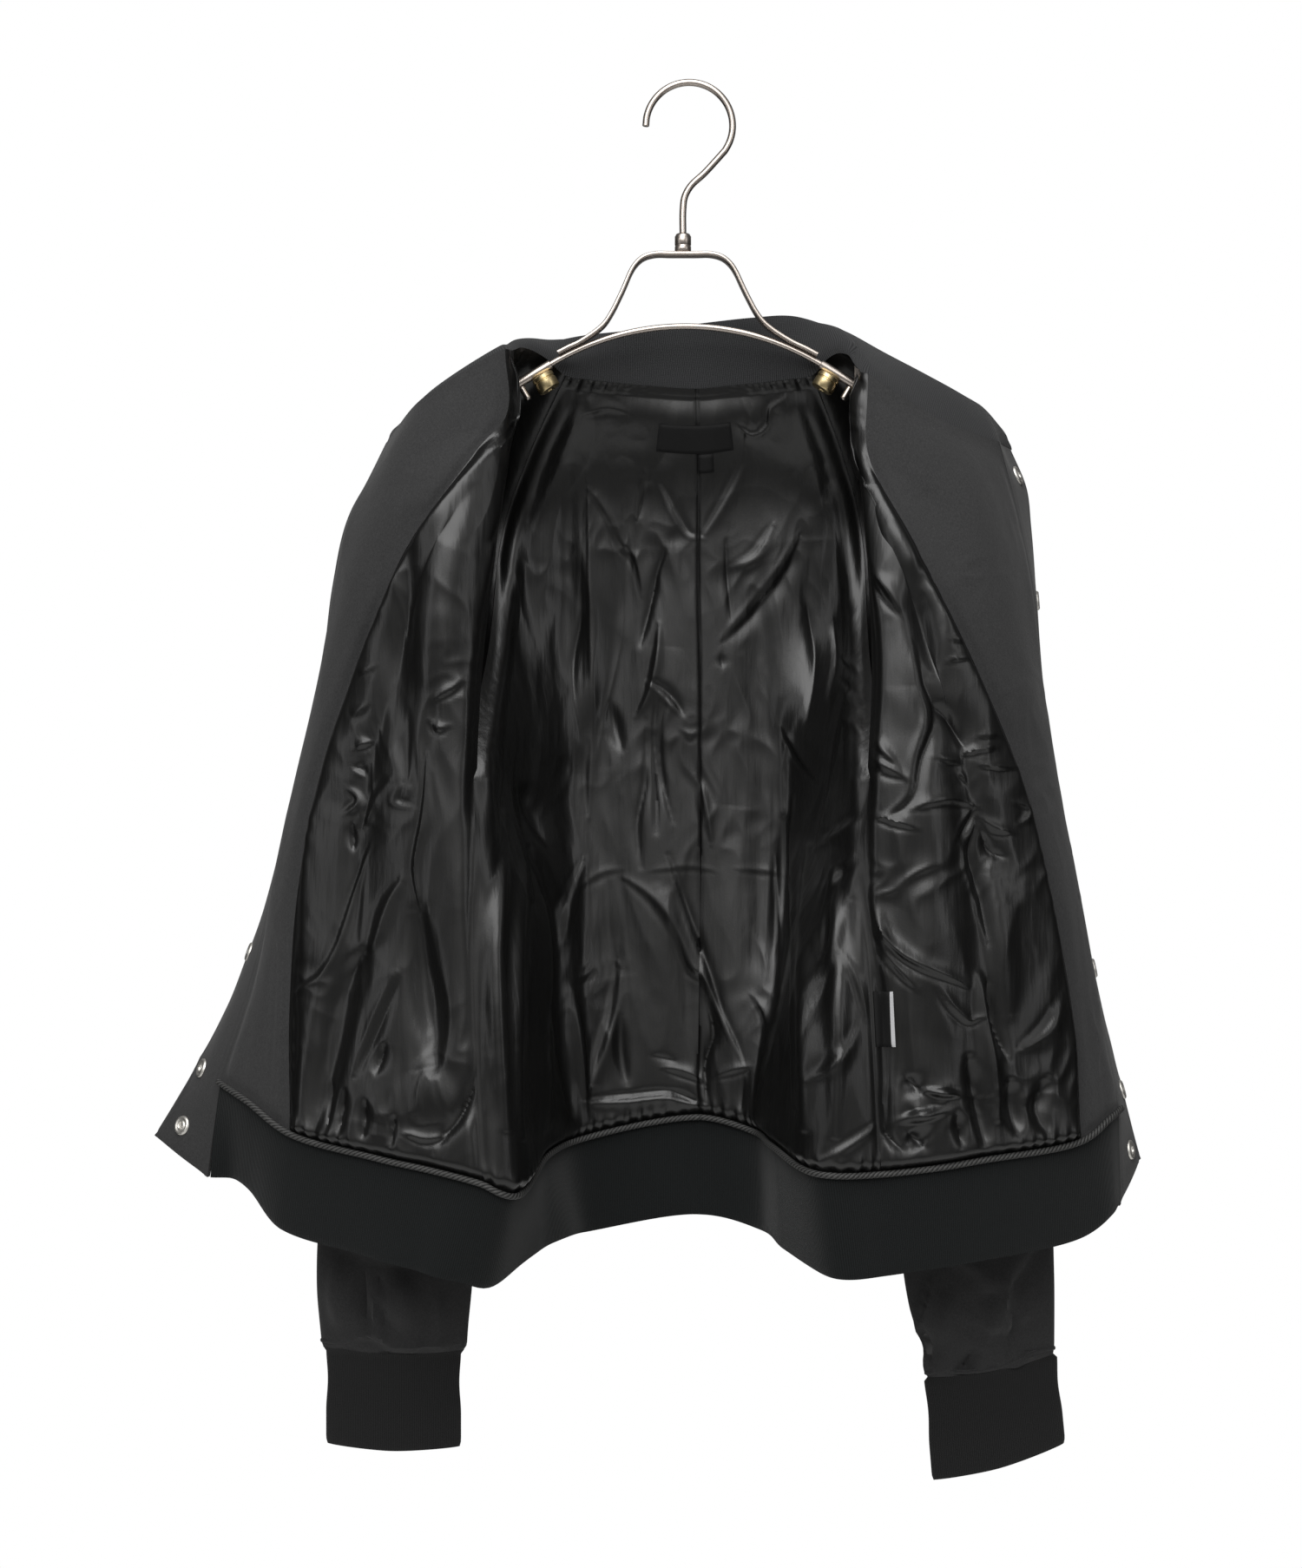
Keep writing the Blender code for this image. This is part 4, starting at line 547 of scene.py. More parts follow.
# The collar's free edge, at stations round the neck from one front edge to the other, and how far
# the knit bulges upward between the neck seam and that edge
COLLAR_NAMES = ("station", "x", "y", "z", "bulge")
COLLAR_TABLE = (
    (0.00, -175, 42, -201, 0.5),
    (0.04, -172, 28, -197, 2),
    (0.08, -163, 16, -195, 3),
    (0.12, -149, 8, -190, 4),
    (0.20, -118, 4, -171.5, 4),
    (0.26, -104, 12, -157, 2),
    (0.30, -96, 22, -149, 2),
    (0.34, -79, 28, -145, 2),
    (0.38, -62, 28, -141, 1),
    (0.44, -35, 29, -137, 1),
    (0.50, 2, 30, -133, 1),
    (0.57, 38, 24, -130, 1),
    (0.63, 59, 21, -130, 1),
    (0.69, 79, 24, -136, 2),
    (0.74, 92, 26, -140.5, 3),
    (0.79, 112, 14, -154, 3),
    (0.84, 133, 3, -167, 3),
    (0.90, 156, 6, -179, 3),
    (0.94, 171, 18, -186, 2),
    (0.97, 183, 27, -196, 1),
    (1.00, 187, 31, -201, 0),
)
COLLAR_LIFT = 1.0

# Soft folds of the cloth: side, piece, where its line crosses the piece (a share of the piece's width,
# from its outer seam), first and last row, half width (a share too) and depth, inwards if positive
FOLD_NAMES = ("side", "piece", "place", "top_row", "bottom_row", "half_width", "depth")
FOLD_TABLE = (
    ("r", "front", 0.40, 4, 21, 0.17, -6.0),
    ("r", "front", 0.74, 8, 23, 0.14, -3.0),
    ("r", "back", 0.66, 3, 17, 0.11, -5.0),
    ("r", "back", 0.86, 8, 21, 0.08, 3.0),
    ("l", "front", 0.45, 4, 20, 0.16, -5.0),
    ("l", "front", 0.72, 9, 23, 0.13, 4.0),
    ("l", "back", 0.68, 6, 20, 0.11, -4.0),
    ("l", "back", 0.88, 12, 22, 0.08, 2.5),
)

# ---------------------------------------------------------------- the hanger's sizes

HOOK_RADIUS = 25.0
HOOK_WIRE = 4.0
HOOK_END_ANGLE = -48.0
SHANK_X = -3.6
SHANK_TOP_Z = -66.0
FERRULE_TOP_Z = -85.0
BOW_TOP_Z = -96.0
BOW_THICKNESS = 2.4
BOW_DEPTH = 9.0
RAIL_TOP_Z = -138.5
RAIL_X = -2.0
RAIL_BEND_RADIUS = 150.0
RAIL_SLOPE = 31.0
RAIL_WIRE = 3.6
ARM_TUBE = 5.4
ARM_START = 78.0
ARM_END = 132.0
NUT_AT = 84.5
STUD_AT = 96.0
HANGER_CLEARANCE = 0.3
BAR_EASE = 0.5

# The room's light on the cloth: its share from straight below up to straight above, from straight in
# front to straight behind, and from the left round to the right
ROOM_UP = ((0.0, 0.02), (0.22, 0.11), (0.41, 0.16), (0.52, 0.55), (0.66, 1.0), (1.0, 0.8))
ROOM_BACK = ((0.0, 1.0), (0.16, 0.85), (0.36, 0.32), (0.6, 0.10), (1.0, 0.35))
ROOM_ASIDE = ((0.0, 0.3), (0.24, 0.52), (0.42, 1.0), (0.58, 1.0), (0.76, 0.52), (1.0, 0.3))
ROOM_LIGHT = 1.35
# Softboxes: name, place and target in metres, width and height, power in watts
LIGHTS = (
    ("key", (-0.5, -2.2, 1.1), (0.0, 0.0, -0.40), (2.4, 1.6), 48.0),
    ("right", (1.7, -1.5, 0.0), (0.0, 0.0, -0.40), (0.5, 1.6), 4.0),
    ("left", (-1.8, -1.3, -0.1), (0.0, 0.0, -0.40), (0.5, 1.6), 3.5),
    ("top", (0.0, -0.7, 1.2), (0.0, 0.0, -0.30), (1.2, 0.8), 14.0),
)

SIDES = {"r": -1.0, "l": 1.0}
COLUMNS = {
    "facing": FACING_COLUMNS, "front": FRONT_COLUMNS, "back": BACK_COLUMNS, "sleeve": SLEEVE_COLUMNS,
}


def cubic(t):
    """The shares that the first end, its slope, the other end and its slope have in a smooth curve."""
    return 2 * t**3 - 3 * t**2 + 1, t**3 - 2 * t**2 + t, 3 * t**2 - 2 * t**3, t**3 - t**2


def between_rows(table, names, row):
    """The named values at a row, on a smooth curve through the table's rows."""
    data = np.array(table, float)
    at, values = data[:, 0], data[:, 1:]
    row = min(max(row, at[0]), at[-1])
    slopes = np.gradient(values, at, axis=0)
    i = int(np.clip(np.searchsorted(at, row, side="right") - 1, 0, len(at) - 2))
    span = at[i + 1] - at[i]
    a, slope_a, b, slope_b = cubic((row - at[i]) / span)
    found = (
        values[i] * a + slopes[i] * span * slope_a + values[i + 1] * b + slopes[i + 1] * span * slope_b
    )
    return dict(zip(names[1:], found))


def smooth_line(points, ends=None, steps=36):
    """A centripetal Catmull-Rom line through the points, and the index of each point on it.

    ends are the points before the first and after the last one, if the line runs on past them.
    """
    p = np.array(points, float)
    before, after = ends if ends is not None else (2 * p[0] - p[1], 2 * p[-1] - p[-2])
    p = np.vstack([before, p, after])
    shapes = cubic((np.arange(steps) / steps)[:, None])
    knots = np.maximum(np.linalg.norm(np.diff(p, axis=0), axis=1), 1e-6) ** 0.5
    line = []
    for i in range(1, len(p) - 2):
        a, b, c, d = p[i - 1 : i + 3]
        k1, k2, k3 = knots[i - 1 : i + 2]
        m1 = k2 * ((b - a) / k1 - (c - a) / (k1 + k2)) + (c - b)
        m2 = k2 * ((d - c) / k3 - (d - b) / (k2 + k3)) + (c - b)
        line.append(b * shapes[0] + m1 * shapes[1] + c * shapes[2] + m2 * shapes[3])
    line.append(p[-2:-1])
    return np.vstack(line), [steps * i for i in range(len(p) - 2)]


def walked(points, axis=0):
    """How far each point lies from the first one, along an axis of the grid or along the line."""
    steps = np.linalg.norm(np.diff(points, axis=axis), axis=-1)
    return np.cumsum(np.pad(steps, [(int(k == axis), 0) for k in range(steps.ndim)]), axis=axis)


def respaced(line, steps):
    """The line's points at the ends of so many even steps."""
    along = walked(line)
    at = np.linspace(0, 1, steps + 1) * along[-1]
    return np.stack([np.interp(at, along, line[:, k]) for k in range(3)], axis=1)


# ---------------------------------------------------------------- the garment's sections

def table_points(side, values, names):
    """World points from the _out, _y and _z values of a table."""
    return {k: (SIDES[side] * values[k + "_out"], values[k + "_y"], values[k + "_z"]) for k in names}


def front_points(side, row):
    """Placket seam, roll, facing, middle and fold points of one front at a row above the hem seam."""
    f = between_rows(FRONT_TABLES[side], FRONT_NAMES, row)
    width = max(f["facing_out"] - f["fold_out"], 2.0)
    share = min(max((f["facing_out"] - f["middle_out"]) / width, 0.0), 1.0)
    f["middle_z"] = f["facing_z"] + share * (f["fold_z"] - f["facing_z"])
    return table_points(side, f, ("edge", "roll", "facing", "middle", "fold"))


def back_points(side, row):
    """Rim, ridge, valley and flank points of one half of the back at a row."""
    b = between_rows(BACK_TABLES[side], BACK_NAMES, row)
    fall = centre_point(row)[2] - b["rim_z"]
    for name in ("ridge", "valley", "flank"):
        b[name + "_z"] = b["rim_z"] + (1 - b[name + "_out"] / b["rim_out"]) * fall
    b["ridge_z"] -= b["ridge_dip"]
    return table_points(side, b, ("rim", "ridge", "valley", "flank"))


def centre_point(row):
    c = between_rows(CENTRE_TABLE, CENTRE_NAMES, row)
    return (c["x"], c["y"], c["z"])


def sleeve_points(side, row):
    """The sleeve's own points at a row. Above the underarm its inner point stays at the underarm."""
    table = SLEEVE_TABLES[side]
    s = between_rows(table, SLEEVE_NAMES, row)
    lower = between_rows([r for r in table if r[0] >= UNDERARM_ROW], SLEEVE_NAMES, max(row, UNDERARM_ROW))
    s.update({k: v for k, v in lower.items() if k.startswith("inner")})
    return table_points(side, s, ("inner", "fore", "top", "aft"))


def strip_points(side, row, seam):
    """Middle and free edge of the placket strip, from its seam."""
    s = between_rows(STRIP_TABLES[side], STRIP_NAMES, row)
    points, at = [], np.array(seam)
    for out in (s["bend"], s["out"] - s["bend"]):
        back = math.sqrt((PLACKET_WIDTH / 2) ** 2 - out**2)
        at = at + (SIDES[side] * out, back, s["rise"] / 2)
        points.append(at)
    return points


def half_section(side, row, joint):
    """One side's pieces at a row, from the free edge to the centre back, and its control points.

    joint is "sleeve" where the sleeve lies between front and back, or the point where they meet.
    """
    points = {**front_points(side, row), **back_points(side, row), **sleeve_points(side, row)}
    between = ["fold", "fore", "top", "aft", "rim"] if joint == "sleeve" else [joint]
    names = ["edge", "roll", "facing", "middle", *between, "ridge", "valley", "flank"]
    return names, [points[n] for n in names]


def section_lines(row, joint):
    """The pieces' points round the whole body at a row: {(side, piece): points}."""
    names_r, points_r = half_section("r", row, joint)
    names_l, points_l = half_section("l", row, joint)
    names = names_r + ["centre"] + names_l[::-1]
    line, marks = smooth_line(points_r + [centre_point(row)] + points_l[::-1])
    found = {}
    for side, order in (("r", names), ("l", names[::-1])):
        whole = line if side == "r" else line[::-1]
        at = marks if side == "r" else [len(line) - 1 - m for m in marks[::-1]]
        place = dict(zip(order[: len(names_r) + 1], at))
        fold, rim = ("fold", "rim") if joint == "sleeve" else (joint, joint)
        spans = {"facing": ("edge", "facing"), "front": ("facing", fold), "back": (rim, "centre")}
        if joint == "sleeve":
            spans["sleeve"] = (fold, rim)
        for piece, (first, last) in spans.items():
            part = whole[place[first] : place[last] + 1]
            found[side, piece] = respaced(part, COLUMNS[piece])
    return found


def section(row):
    """The pieces of a row above the hem seam, smoothly joined at the underarm."""
    if row >= UNDERARM_ROW:
        return section_lines(row, "fold")
    found = section_lines(row, "sleeve")
    if row > BLEND_ROW:
        share = smooth_step((row - BLEND_ROW) / (UNDERARM_ROW - BLEND_ROW))
        at_fold, at_rim = section_lines(row, "fold"), section_lines(row, "rim")
        for side in SIDES:
            ends = front_points(side, row)["fold"], back_points(side, row)["rim"]
            later = {
                "facing": at_fold[side, "facing"], "front": at_fold[side, "front"],
                "back": at_rim[side, "back"], "sleeve": sleeve_ring(side, row, *ends),
            }
            for piece, points in later.items():
                found[side, piece] = found[side, piece] * (1 - share) + points * share
    return found


def sleeve_ring(side, row, first=None, last=None):
    """A row of the sleeve, from the underarm seam round and back to it, or from first to last."""
    s = sleeve_points(side, row)
    ends = np.array(s["aft"]), np.array(s["fore"])
    line, _ = smooth_line([first or s["inner"], s["fore"], s["top"], s["aft"], last or s["inner"]], ends)
    return respaced(line, SLEEVE_COLUMNS)


def cuff_ring(side, row):
    """A row of the cuff: a flat oval under the sleeve's end, in the sleeve's columns."""
    shift, lean, width, depth = CUFF_TABLE[side]
    top = sleeve_ring(side, CUFF_SEAM_ROW)
    share = (row - CUFF_SEAM_ROW) / (CUFF_ROW - CUFF_SEAM_ROW)
    middle = (top.max(0) + top.min(0)) / 2
    size = top.max(0) - top.min(0)
    narrow = CUFF_TUCK * math.sin(math.pi * min(1.0, share * 1.5)) ** 2
    ring = (top - middle) * ((width - narrow) / size[0], (depth - narrow) / size[1], 1.0)
    if share == 0:
        ring = top - middle
    drop = np.array((SIDES[side] * shift * share, 0.0, -CUFF_HEIGHT * share))
    ring[:, 2] += lean * share * ring[:, 0] * SIDES[side] / (width / 2)
    return middle + ring + drop


def fold_push(side, piece, row, count):
    """How far the soft folds push each column of a piece inwards at a row. Its seams stay put."""
    push = np.zeros(count)
    for f in (dict(zip(FOLD_NAMES, fold)) for fold in FOLD_TABLE):
        if (f["side"], f["piece"]) != (side, piece) or not f["top_row"] < row < f["bottom_row"]:
            continue
        fade = math.sin(math.pi * (row - f["top_row"]) / (f["bottom_row"] - f["top_row"])) ** 0.8
        push += f["depth"] * fade * near(np.linspace(0, 1, count) - f["place"], f["half_width"])
    push[[0, -1]] = 0
    return push


def hem_rib(side, seam_line):
    """The hem rib's points, from the hem seam down."""
    at = [np.arange(n) / n for n in (FACING_COLUMNS, FRONT_COLUMNS, BACK_COLUMNS)]
    at = np.concatenate([at[0], 1 + at[1], 2 + at[2], [3]])
    share = np.linspace(0, 1, (HEM_ROW - HEM_SEAM_ROW) * BAND_STEPS + 1)[:, None]
    columns = []
    for place, point in zip(at, seam_line):
        h = between_rows(HEM_TABLES[side], HEM_NAMES, place)
        drop = np.hstack([SIDES[side] * h["out"] * share, h["y"] * share**1.3, h["z"] * share])
        columns.append(point + drop)
    return np.stack(columns, axis=1)


# ---------------------------------------------------------------- the garment's fine grid

def garment_grid():
    """{(side, piece): rows x columns of points of the cloth's outer face}, from the outer edge inwards."""
    sections = [section(row) for row in BODY_ROWS]
    grid = {}
    for side in SIDES:
        for piece in ("facing", "front", "back"):
            grid[side, piece] = np.array([found[side, piece] for found in sections])
        upper = [found[side, "sleeve"] for found in sections[: len(UPPER_ROWS)]]
        grid[side, "sleeve"] = np.array(upper + [sleeve_ring(side, row) for row in SLEEVE_ROWS])
    push_folds(grid)
    for side in SIDES:
        rows = np.linspace(CUFF_SEAM_ROW, CUFF_ROW, (CUFF_ROW - CUFF_SEAM_ROW) * BAND_STEPS + 1)
        grid[side, "cuff"] = np.array([cuff_ring(side, row) for row in rows])
        pieces = [grid[side, p][-1:] for p in ("facing", "front", "back")]
        grid[side, "hem"] = hem_rib(side, joined(pieces)[0])
        grid[side, "placket"] = placket_grid(side, grid[side, "facing"], grid[side, "hem"])
    return grid


def push_folds(grid):
    """Moves the points of the fronts and back along their normals, for the soft folds."""
    for (side, piece), points in grid.items():
        if piece in ("front", "back"):
            normals = outward_normals(side, points)
            for number, row in enumerate(BODY_ROWS):
                push = fold_push(side, piece, row, points.shape[1])
                points[number] -= normals[number] * push[:, None]


def placket_grid(side, facing, hem):
    """The placket strip from its free edge to its seam, down to the bottom of the hem."""
    seam = joined([facing[:, :1], hem[:, :1]], axis=0)[:, 0]
    below = np.linspace(HEM_SEAM_ROW, HEM_ROW, len(hem))[1:]
    strip = []
    places = np.concatenate([BODY_ROWS, below])
    for row, point in zip(places[::2], seam[::2]):
        middle, edge = strip_points(side, row, point)
        line, _ = smooth_line([edge, middle, point])
        strip.append(respaced(line, PLACKET_COLUMNS))
    return np.array(strip)


def unit(vectors):
    return vectors / np.maximum(np.linalg.norm(vectors, axis=-1, keepdims=True), 1e-9)


def grid_normals(points):
    """Unit normals of one range of the grid: across x down."""
    return unit(np.cross(np.gradient(points, axis=1), np.gradient(points, axis=0)))


def outward_normals(side, points):
    return grid_normals(points) * (1.0 if side == "r" else -1.0)


def joined(parts, axis=1):
    """Ranges that meet along a column (or row), as one range without the repeated line."""
    whole = parts[0]
    for part in parts[1:]:
        rest = part[:, 1:] if axis == 1 else part[1:]
        whole = np.concatenate([whole, rest], axis=axis)
    return whole


def turned(points):
    """A left-side range with its columns reversed, so that they run on from the right side's."""
    return points[:, ::-1]


def smoothed(values, times, axis=0):
    """The values evened out along an axis, its two ends kept."""
    v = np.moveaxis(values.copy(), axis, 0)
    for _ in range(times):
        v[1:-1] = (v[:-2] + 2 * v[1:-1] + v[2:]) / 4
    return np.moveaxis(v, 0, axis)


# ---------------------------------------------------------------- creases

def seen(points):
    """X and Z, in mm, at which the camera's sight lines to the points cross the hanger's plane."""
    share = -CAMERA[1] / (points[..., 1] - CAMERA[1])
    x = CAMERA[0] + (points[..., 0] - CAMERA[0]) * share
    z = CAMERA[2] + (points[..., 2] - CAMERA[2]) * share
    return x, z


def creased(rows, x, z):
    """The height at (x, z) of all the folds of a table, each with its own profile across its line."""
    height = np.zeros_like(x)
    for row in rows:
        f = dict(zip(CREASE_NAMES, row))
        line, _ = smooth_line([(px, 0.0, pz) for px, pz in f["line"]], steps=8)
        line = line[:, ::2]
        reach = 3 * f["width"]
        low, high = line.min(0) - reach, line.max(0) + reach
        close = (x > low[0]) & (x < high[0]) & (z > low[1]) & (z < high[1])
        if not close.any():
            continue
        across, share = beside_line(line, x[close], z[close])
        taper = np.sin(math.pi * (share + 0.04) / 1.08) ** 0.7
        t = across / (f["width"] * (0.4 + 0.6 * taper))
        if f["kind"] == "lap":
            ridge = (1 - np.exp(-((t / LAP_STEEPNESS) ** 2))) * np.exp(-((t / 1.5) ** 2))
            foot = -0.25 * np.exp(-((2 * t + 1) ** 2)) * (1 - np.exp(-((3 * t) ** 2)))
            shape = np.where(t > 0, ridge, foot)
        else:
            shape = np.exp(-np.abs(t) ** (2 if f["kind"] == "soft" else 1.2))
        height[close] += f["height"] * taper * shape
    return height


def beside_line(line, x, z):
    """How far each point lies to the left of a line, and at which share of the line's length."""
    best = np.full(x.shape, np.inf)
    across, share = np.zeros_like(x), np.zeros_like(x)
    steps = np.linalg.norm(np.diff(line, axis=0), axis=1)
    starts = np.concatenate([[0], np.cumsum(steps)]) / steps.sum()
    for k, length in enumerate(steps):
        way = (line[k + 1] - line[k]) / length
        dx, dz = x - line[k][0], z - line[k][1]
        along = np.clip(dx * way[0] + dz * way[1], 0, length)
        distance = np.hypot(dx - along * way[0], dz - along * way[1])
        nearer = distance < best
        side = np.sign(dz * way[0] - dx * way[1])
        best = np.where(nearer, distance, best)
        across = np.where(nearer, side * distance, across)
        share = np.where(nearer, starts[k] + along / steps.sum(), share)
    return across, share


def drape(points, across, down, height, seed):
    """Long soft wrinkles with their crests drawn out downwards, and short crisp ones between them."""
    total = np.empty(points.shape[:2])
    for at in np.ndindex(*total.shape):
        x, y, z = points[at]
        bend = 0.9 * noise.noise(Vector((x / 70, z / 90, seed)))
        place = Vector((x / across + bend, y / across, z / down + seed))
        long = 1 - 2.2 * abs(noise.noise(place)) + 0.35 * noise.noise(place * 2.3)
        swirl = 1.5 * noise.noise(Vector((x / 45, z / 45, seed + 9)))
        short = abs(noise.noise(Vector((x / 13 + swirl, y / 13, z / 26 - swirl + seed))))
        patchy = max(0.0, 0.25 + noise.noise(Vector((x / 60, y / 60, z / 60 - seed))))
        total[at] = long - 0.5 - SHORT_WRINKLES * patchy * short
    return height * total


def from_edges(points):
    """Distances of each point from the first and last columns, and from the top and bottom rows."""
    u, v = walked(points, 1), walked(points, 0)
    return {"first": u, "last": u[:, -1:] - u, "top": v, "bottom": v[-1:] - v}


def smooth_step(t):
    """0 below t = 0 and 1 above t = 1, with a soft turn at both."""
    t = np.clip(t, 0, 1)
    return t * t * (3 - 2 * t)


def near(distance, reach):
    """1 at a seam, falling off over a reach in mm."""
    return np.exp(-((distance / reach) ** 2))


# ---------------------------------------------------------------- meshes


def add_piece(name, slot, points, faces, finishes, uv=None, slots=None, node=True):
    """A piece of the one body, from points in millimetres. It stands for the CAD node of its name.

    uv is one pair of millimetres for each point. node is False where the CAD has no such node.
    """
    mesh = bpy.data.meshes.new(name)
    mesh.from_pydata([tuple(p) for p in np.asarray(points, float) * MM], [], faces)
    if uv is not None:
        layer = mesh.uv_layers.new(name="cloth")
        at = np.empty(len(mesh.loops), np.int32)
        mesh.loops.foreach_get("vertex_index", at)
        layer.data.foreach_set("uv", (np.asarray(uv, np.float32)[at] * MM).ravel())
    for finish in finishes:
        mesh.materials.append(finish)
    if slots is not None:
        mesh.polygons.foreach_set("material_index", slots)
    mesh.shade_smooth()
    mesh.set_sharp_from_angle(angle=math.radians(50))
    obj = bpy.data.objects.new(name + "_look", mesh)
    bpy.context.scene.collection.objects.link(obj)
    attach(obj, "root")
    if node:
        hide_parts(name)


def quads(rows, columns, start=0, flip=False):
    at = np.arange(rows * columns).reshape(rows, columns) + start
    faces = np.stack([at[:-1, :-1], at[:-1, 1:], at[1:, 1:], at[1:, :-1]], axis=-1).reshape(-1, 4)
    return faces[:, ::-1] if flip else faces


def flat_places(points):
    """The cloth's own flat coordinates of each point."""
    return np.stack(np.meshgrid(walked(points, 1).mean(0), walked(points, 0).mean(1)), axis=-1)


def border(rows, columns):
    """The outline of a grid, once round, as indices."""
    at = np.arange(rows * columns).reshape(rows, columns)
    return np.concatenate([at[0, :-1], at[:-1, -1], at[-1, :0:-1], at[:0:-1, 0]])


def wall(name, slot, face, back, finishes, flip=False, coarse=1):
    """A closed shell between a fine face and its back. The back may keep only every coarse-th point.

    face lies outside of back, or inside of it if flip. The back takes the last finish.
    """
    rows, columns = face.shape[:2]
    back = back[::coarse, ::coarse]
    below = rows * columns
    rim = border(rows, columns)
    under = border(*back.shape[:2]) + below
    ends = np.roll(rim, -1), np.roll(under, -1)
    edge = [
        (*rim[k * coarse : (k + 1) * coarse], ends[0][(k + 1) * coarse - 1], ends[1][k], under[k])
        for k in range(len(under))
    ]
    if flip:
        edge = [strip[::-1] for strip in edge]
    faces = [
        quads(rows, columns, 0, not flip).tolist(), quads(*back.shape[:2], below, flip).tolist(), edge,
    ]
    slots = np.concatenate([np.full(len(f), k, np.int32) for f, k in zip(faces, (0, len(finishes) - 1, 0))])
    places = flat_places(face)
    uv = np.vstack([places.reshape(-1, 2), places[::coarse, ::coarse].reshape(-1, 2)])
    points = np.vstack([face.reshape(-1, 3), back.reshape(-1, 3)])
    add_piece(name, slot, points, [f for group in faces for f in group], finishes, uv, slots)


def loft(rings):
    """Points and faces of a solid from the rings of points along it, closed at both ends."""
    count, sides = rings.shape[:2]
    at = np.arange(count * sides).reshape(count, sides)
    on = np.roll(at, -1, axis=1)
    faces = np.stack([at[:-1], on[:-1], on[1:], at[1:]], axis=-1).reshape(-1, 4).tolist()
    return rings.reshape(-1, 3), [*faces, at[0, ::-1].tolist(), at[-1].tolist()]


def round_bar(path, radius, sides):
    """Points and faces of a tube along a path, with one radius or one for each point."""
    tangent = unit(np.gradient(path, axis=0))
    forth = np.array((0.0, 1.0, 0.0))
    across = unit(forth - tangent * (tangent @ forth)[:, None])
    other = np.cross(tangent, across)
    turn = 2 * math.pi * np.arange(sides)[:, None] / sides
    ring = across[:, None] * np.cos(turn) + other[:, None] * np.sin(turn)
    return loft(path[:, None] + ring * np.broadcast_to(radius, len(path))[:, None, None])


def facing_matrix(point, normal, up=(0, 0, 1)):
    """A frame at the point with local Z along the normal."""
    z = Vector(normal).normalized()
    x = Vector(up).cross(z).normalized()
    y = z.cross(x)
    turn = Matrix((x, y, z)).transposed().to_4x4()
    return Matrix.Translation(Vector(point)) @ turn


# ---------------------------------------------------------------- materials

def plug(tree, socket, value):
    """Links a node's input to another node's output, or sets its value."""
    if isinstance(value, bpy.types.NodeSocket):
        tree.links.new(value, socket)
    else:
        socket.default_value = value


def add_node(tree, kind, **inputs):
    """A node with its inputs set; their names have _ for a space."""
    node = tree.nodes.new(kind)
    for name, value in inputs.items():
        plug(tree, node.inputs[name.replace("_", " ")], value)
    return node


def product(tree, *factors):
    node = tree.nodes.new("ShaderNodeMath")
    node.operation = "MULTIPLY"
    for socket, value in zip(node.inputs, factors):
        plug(tree, socket, value)
    return node.outputs[0]


class Finish:
    """A Principled material built from a few kinds of fixed procedural texture."""

    def __init__(self, name, color, roughness, metallic=0.0, **sockets):
        self.made = bpy.data.materials.new(name)
        self.made.use_nodes = True
        self.made.diffuse_color = (*color, 1.0)
        self.tree = self.made.node_tree
        self.color = color
        self.bump = None
        self.set(Base_Color=(*color, 1.0), Roughness=roughness, Metallic=metallic, **sockets)

    def set(self, **sockets):
        for name, value in sockets.items():
            plug(self.tree, self.tree.nodes["Principled BSDF"].inputs[name.replace("_", " ")], value)

    def places(self, kind="Object", stretch=(1, 1, 1)):
        """Coordinates in metres, on the object or along the cloth, scaled by a stretch."""
        coordinates = self.tree.nodes.new("ShaderNodeTexCoord").outputs[kind]
        return add_node(self.tree, "ShaderNodeMapping", Vector=coordinates, Scale=stretch).outputs[0]

    def noise(self, places, scale, detail=2.0, roughness=0.5, distortion=0.0, kind="FBM"):
        node = add_node(
            self.tree, "ShaderNodeTexNoise", Vector=places, Scale=scale, Detail=detail,
            Roughness=roughness, Distortion=distortion,
        )
        node.noise_type = kind
        return node.outputs["Fac"]

    def lines(self, places, pitch, direction="X", distortion=0.0):
        """Even ridges, pitch metres apart."""
        scale = math.pi / (10 * pitch)
        node = add_node(self.tree, "ShaderNodeTexWave", Vector=places, Scale=scale, Distortion=distortion)
        node.bands_direction = direction
        return node.outputs["Fac"]

    def raise_by(self, height, distance, strength=1.0):
        """Adds a bump of a height in metres."""
        node = add_node(self.tree, "ShaderNodeBump", Height=height, Distance=distance, Strength=strength)
        if self.bump is not None:
            plug(self.tree, node.inputs["Normal"], self.bump)
        self.bump = node.outputs["Normal"]
        self.set(Normal=self.bump)

    def vary(self, factor, low, high):
        """Mixes the colour between two shares of itself."""
        mix = self.tree.nodes.new("ShaderNodeMix")
        mix.data_type = "RGBA"
        plug(self.tree, mix.inputs["Factor"], factor)
        for end, share in (("A", low), ("B", high)):
            mix.inputs[end].default_value = (*(share * c for c in self.color), 1.0)
        self.set(Base_Color=mix.outputs["Result"])

    def ramp(self, factor, **limits):
        """The factor spread between limits, From_Min, From_Max, To_Min and To_Max."""
        return add_node(self.tree, "ShaderNodeMapRange", Value=factor, **limits).outputs[0]

    def sharpened(self, factor, low, high):
        return self.ramp(factor, From_Min=low, From_Max=high)

    def spread(self, factor, low, high):
        """The roughness between two values."""
        self.set(Roughness=self.ramp(factor, To_Min=low, To_Max=high))


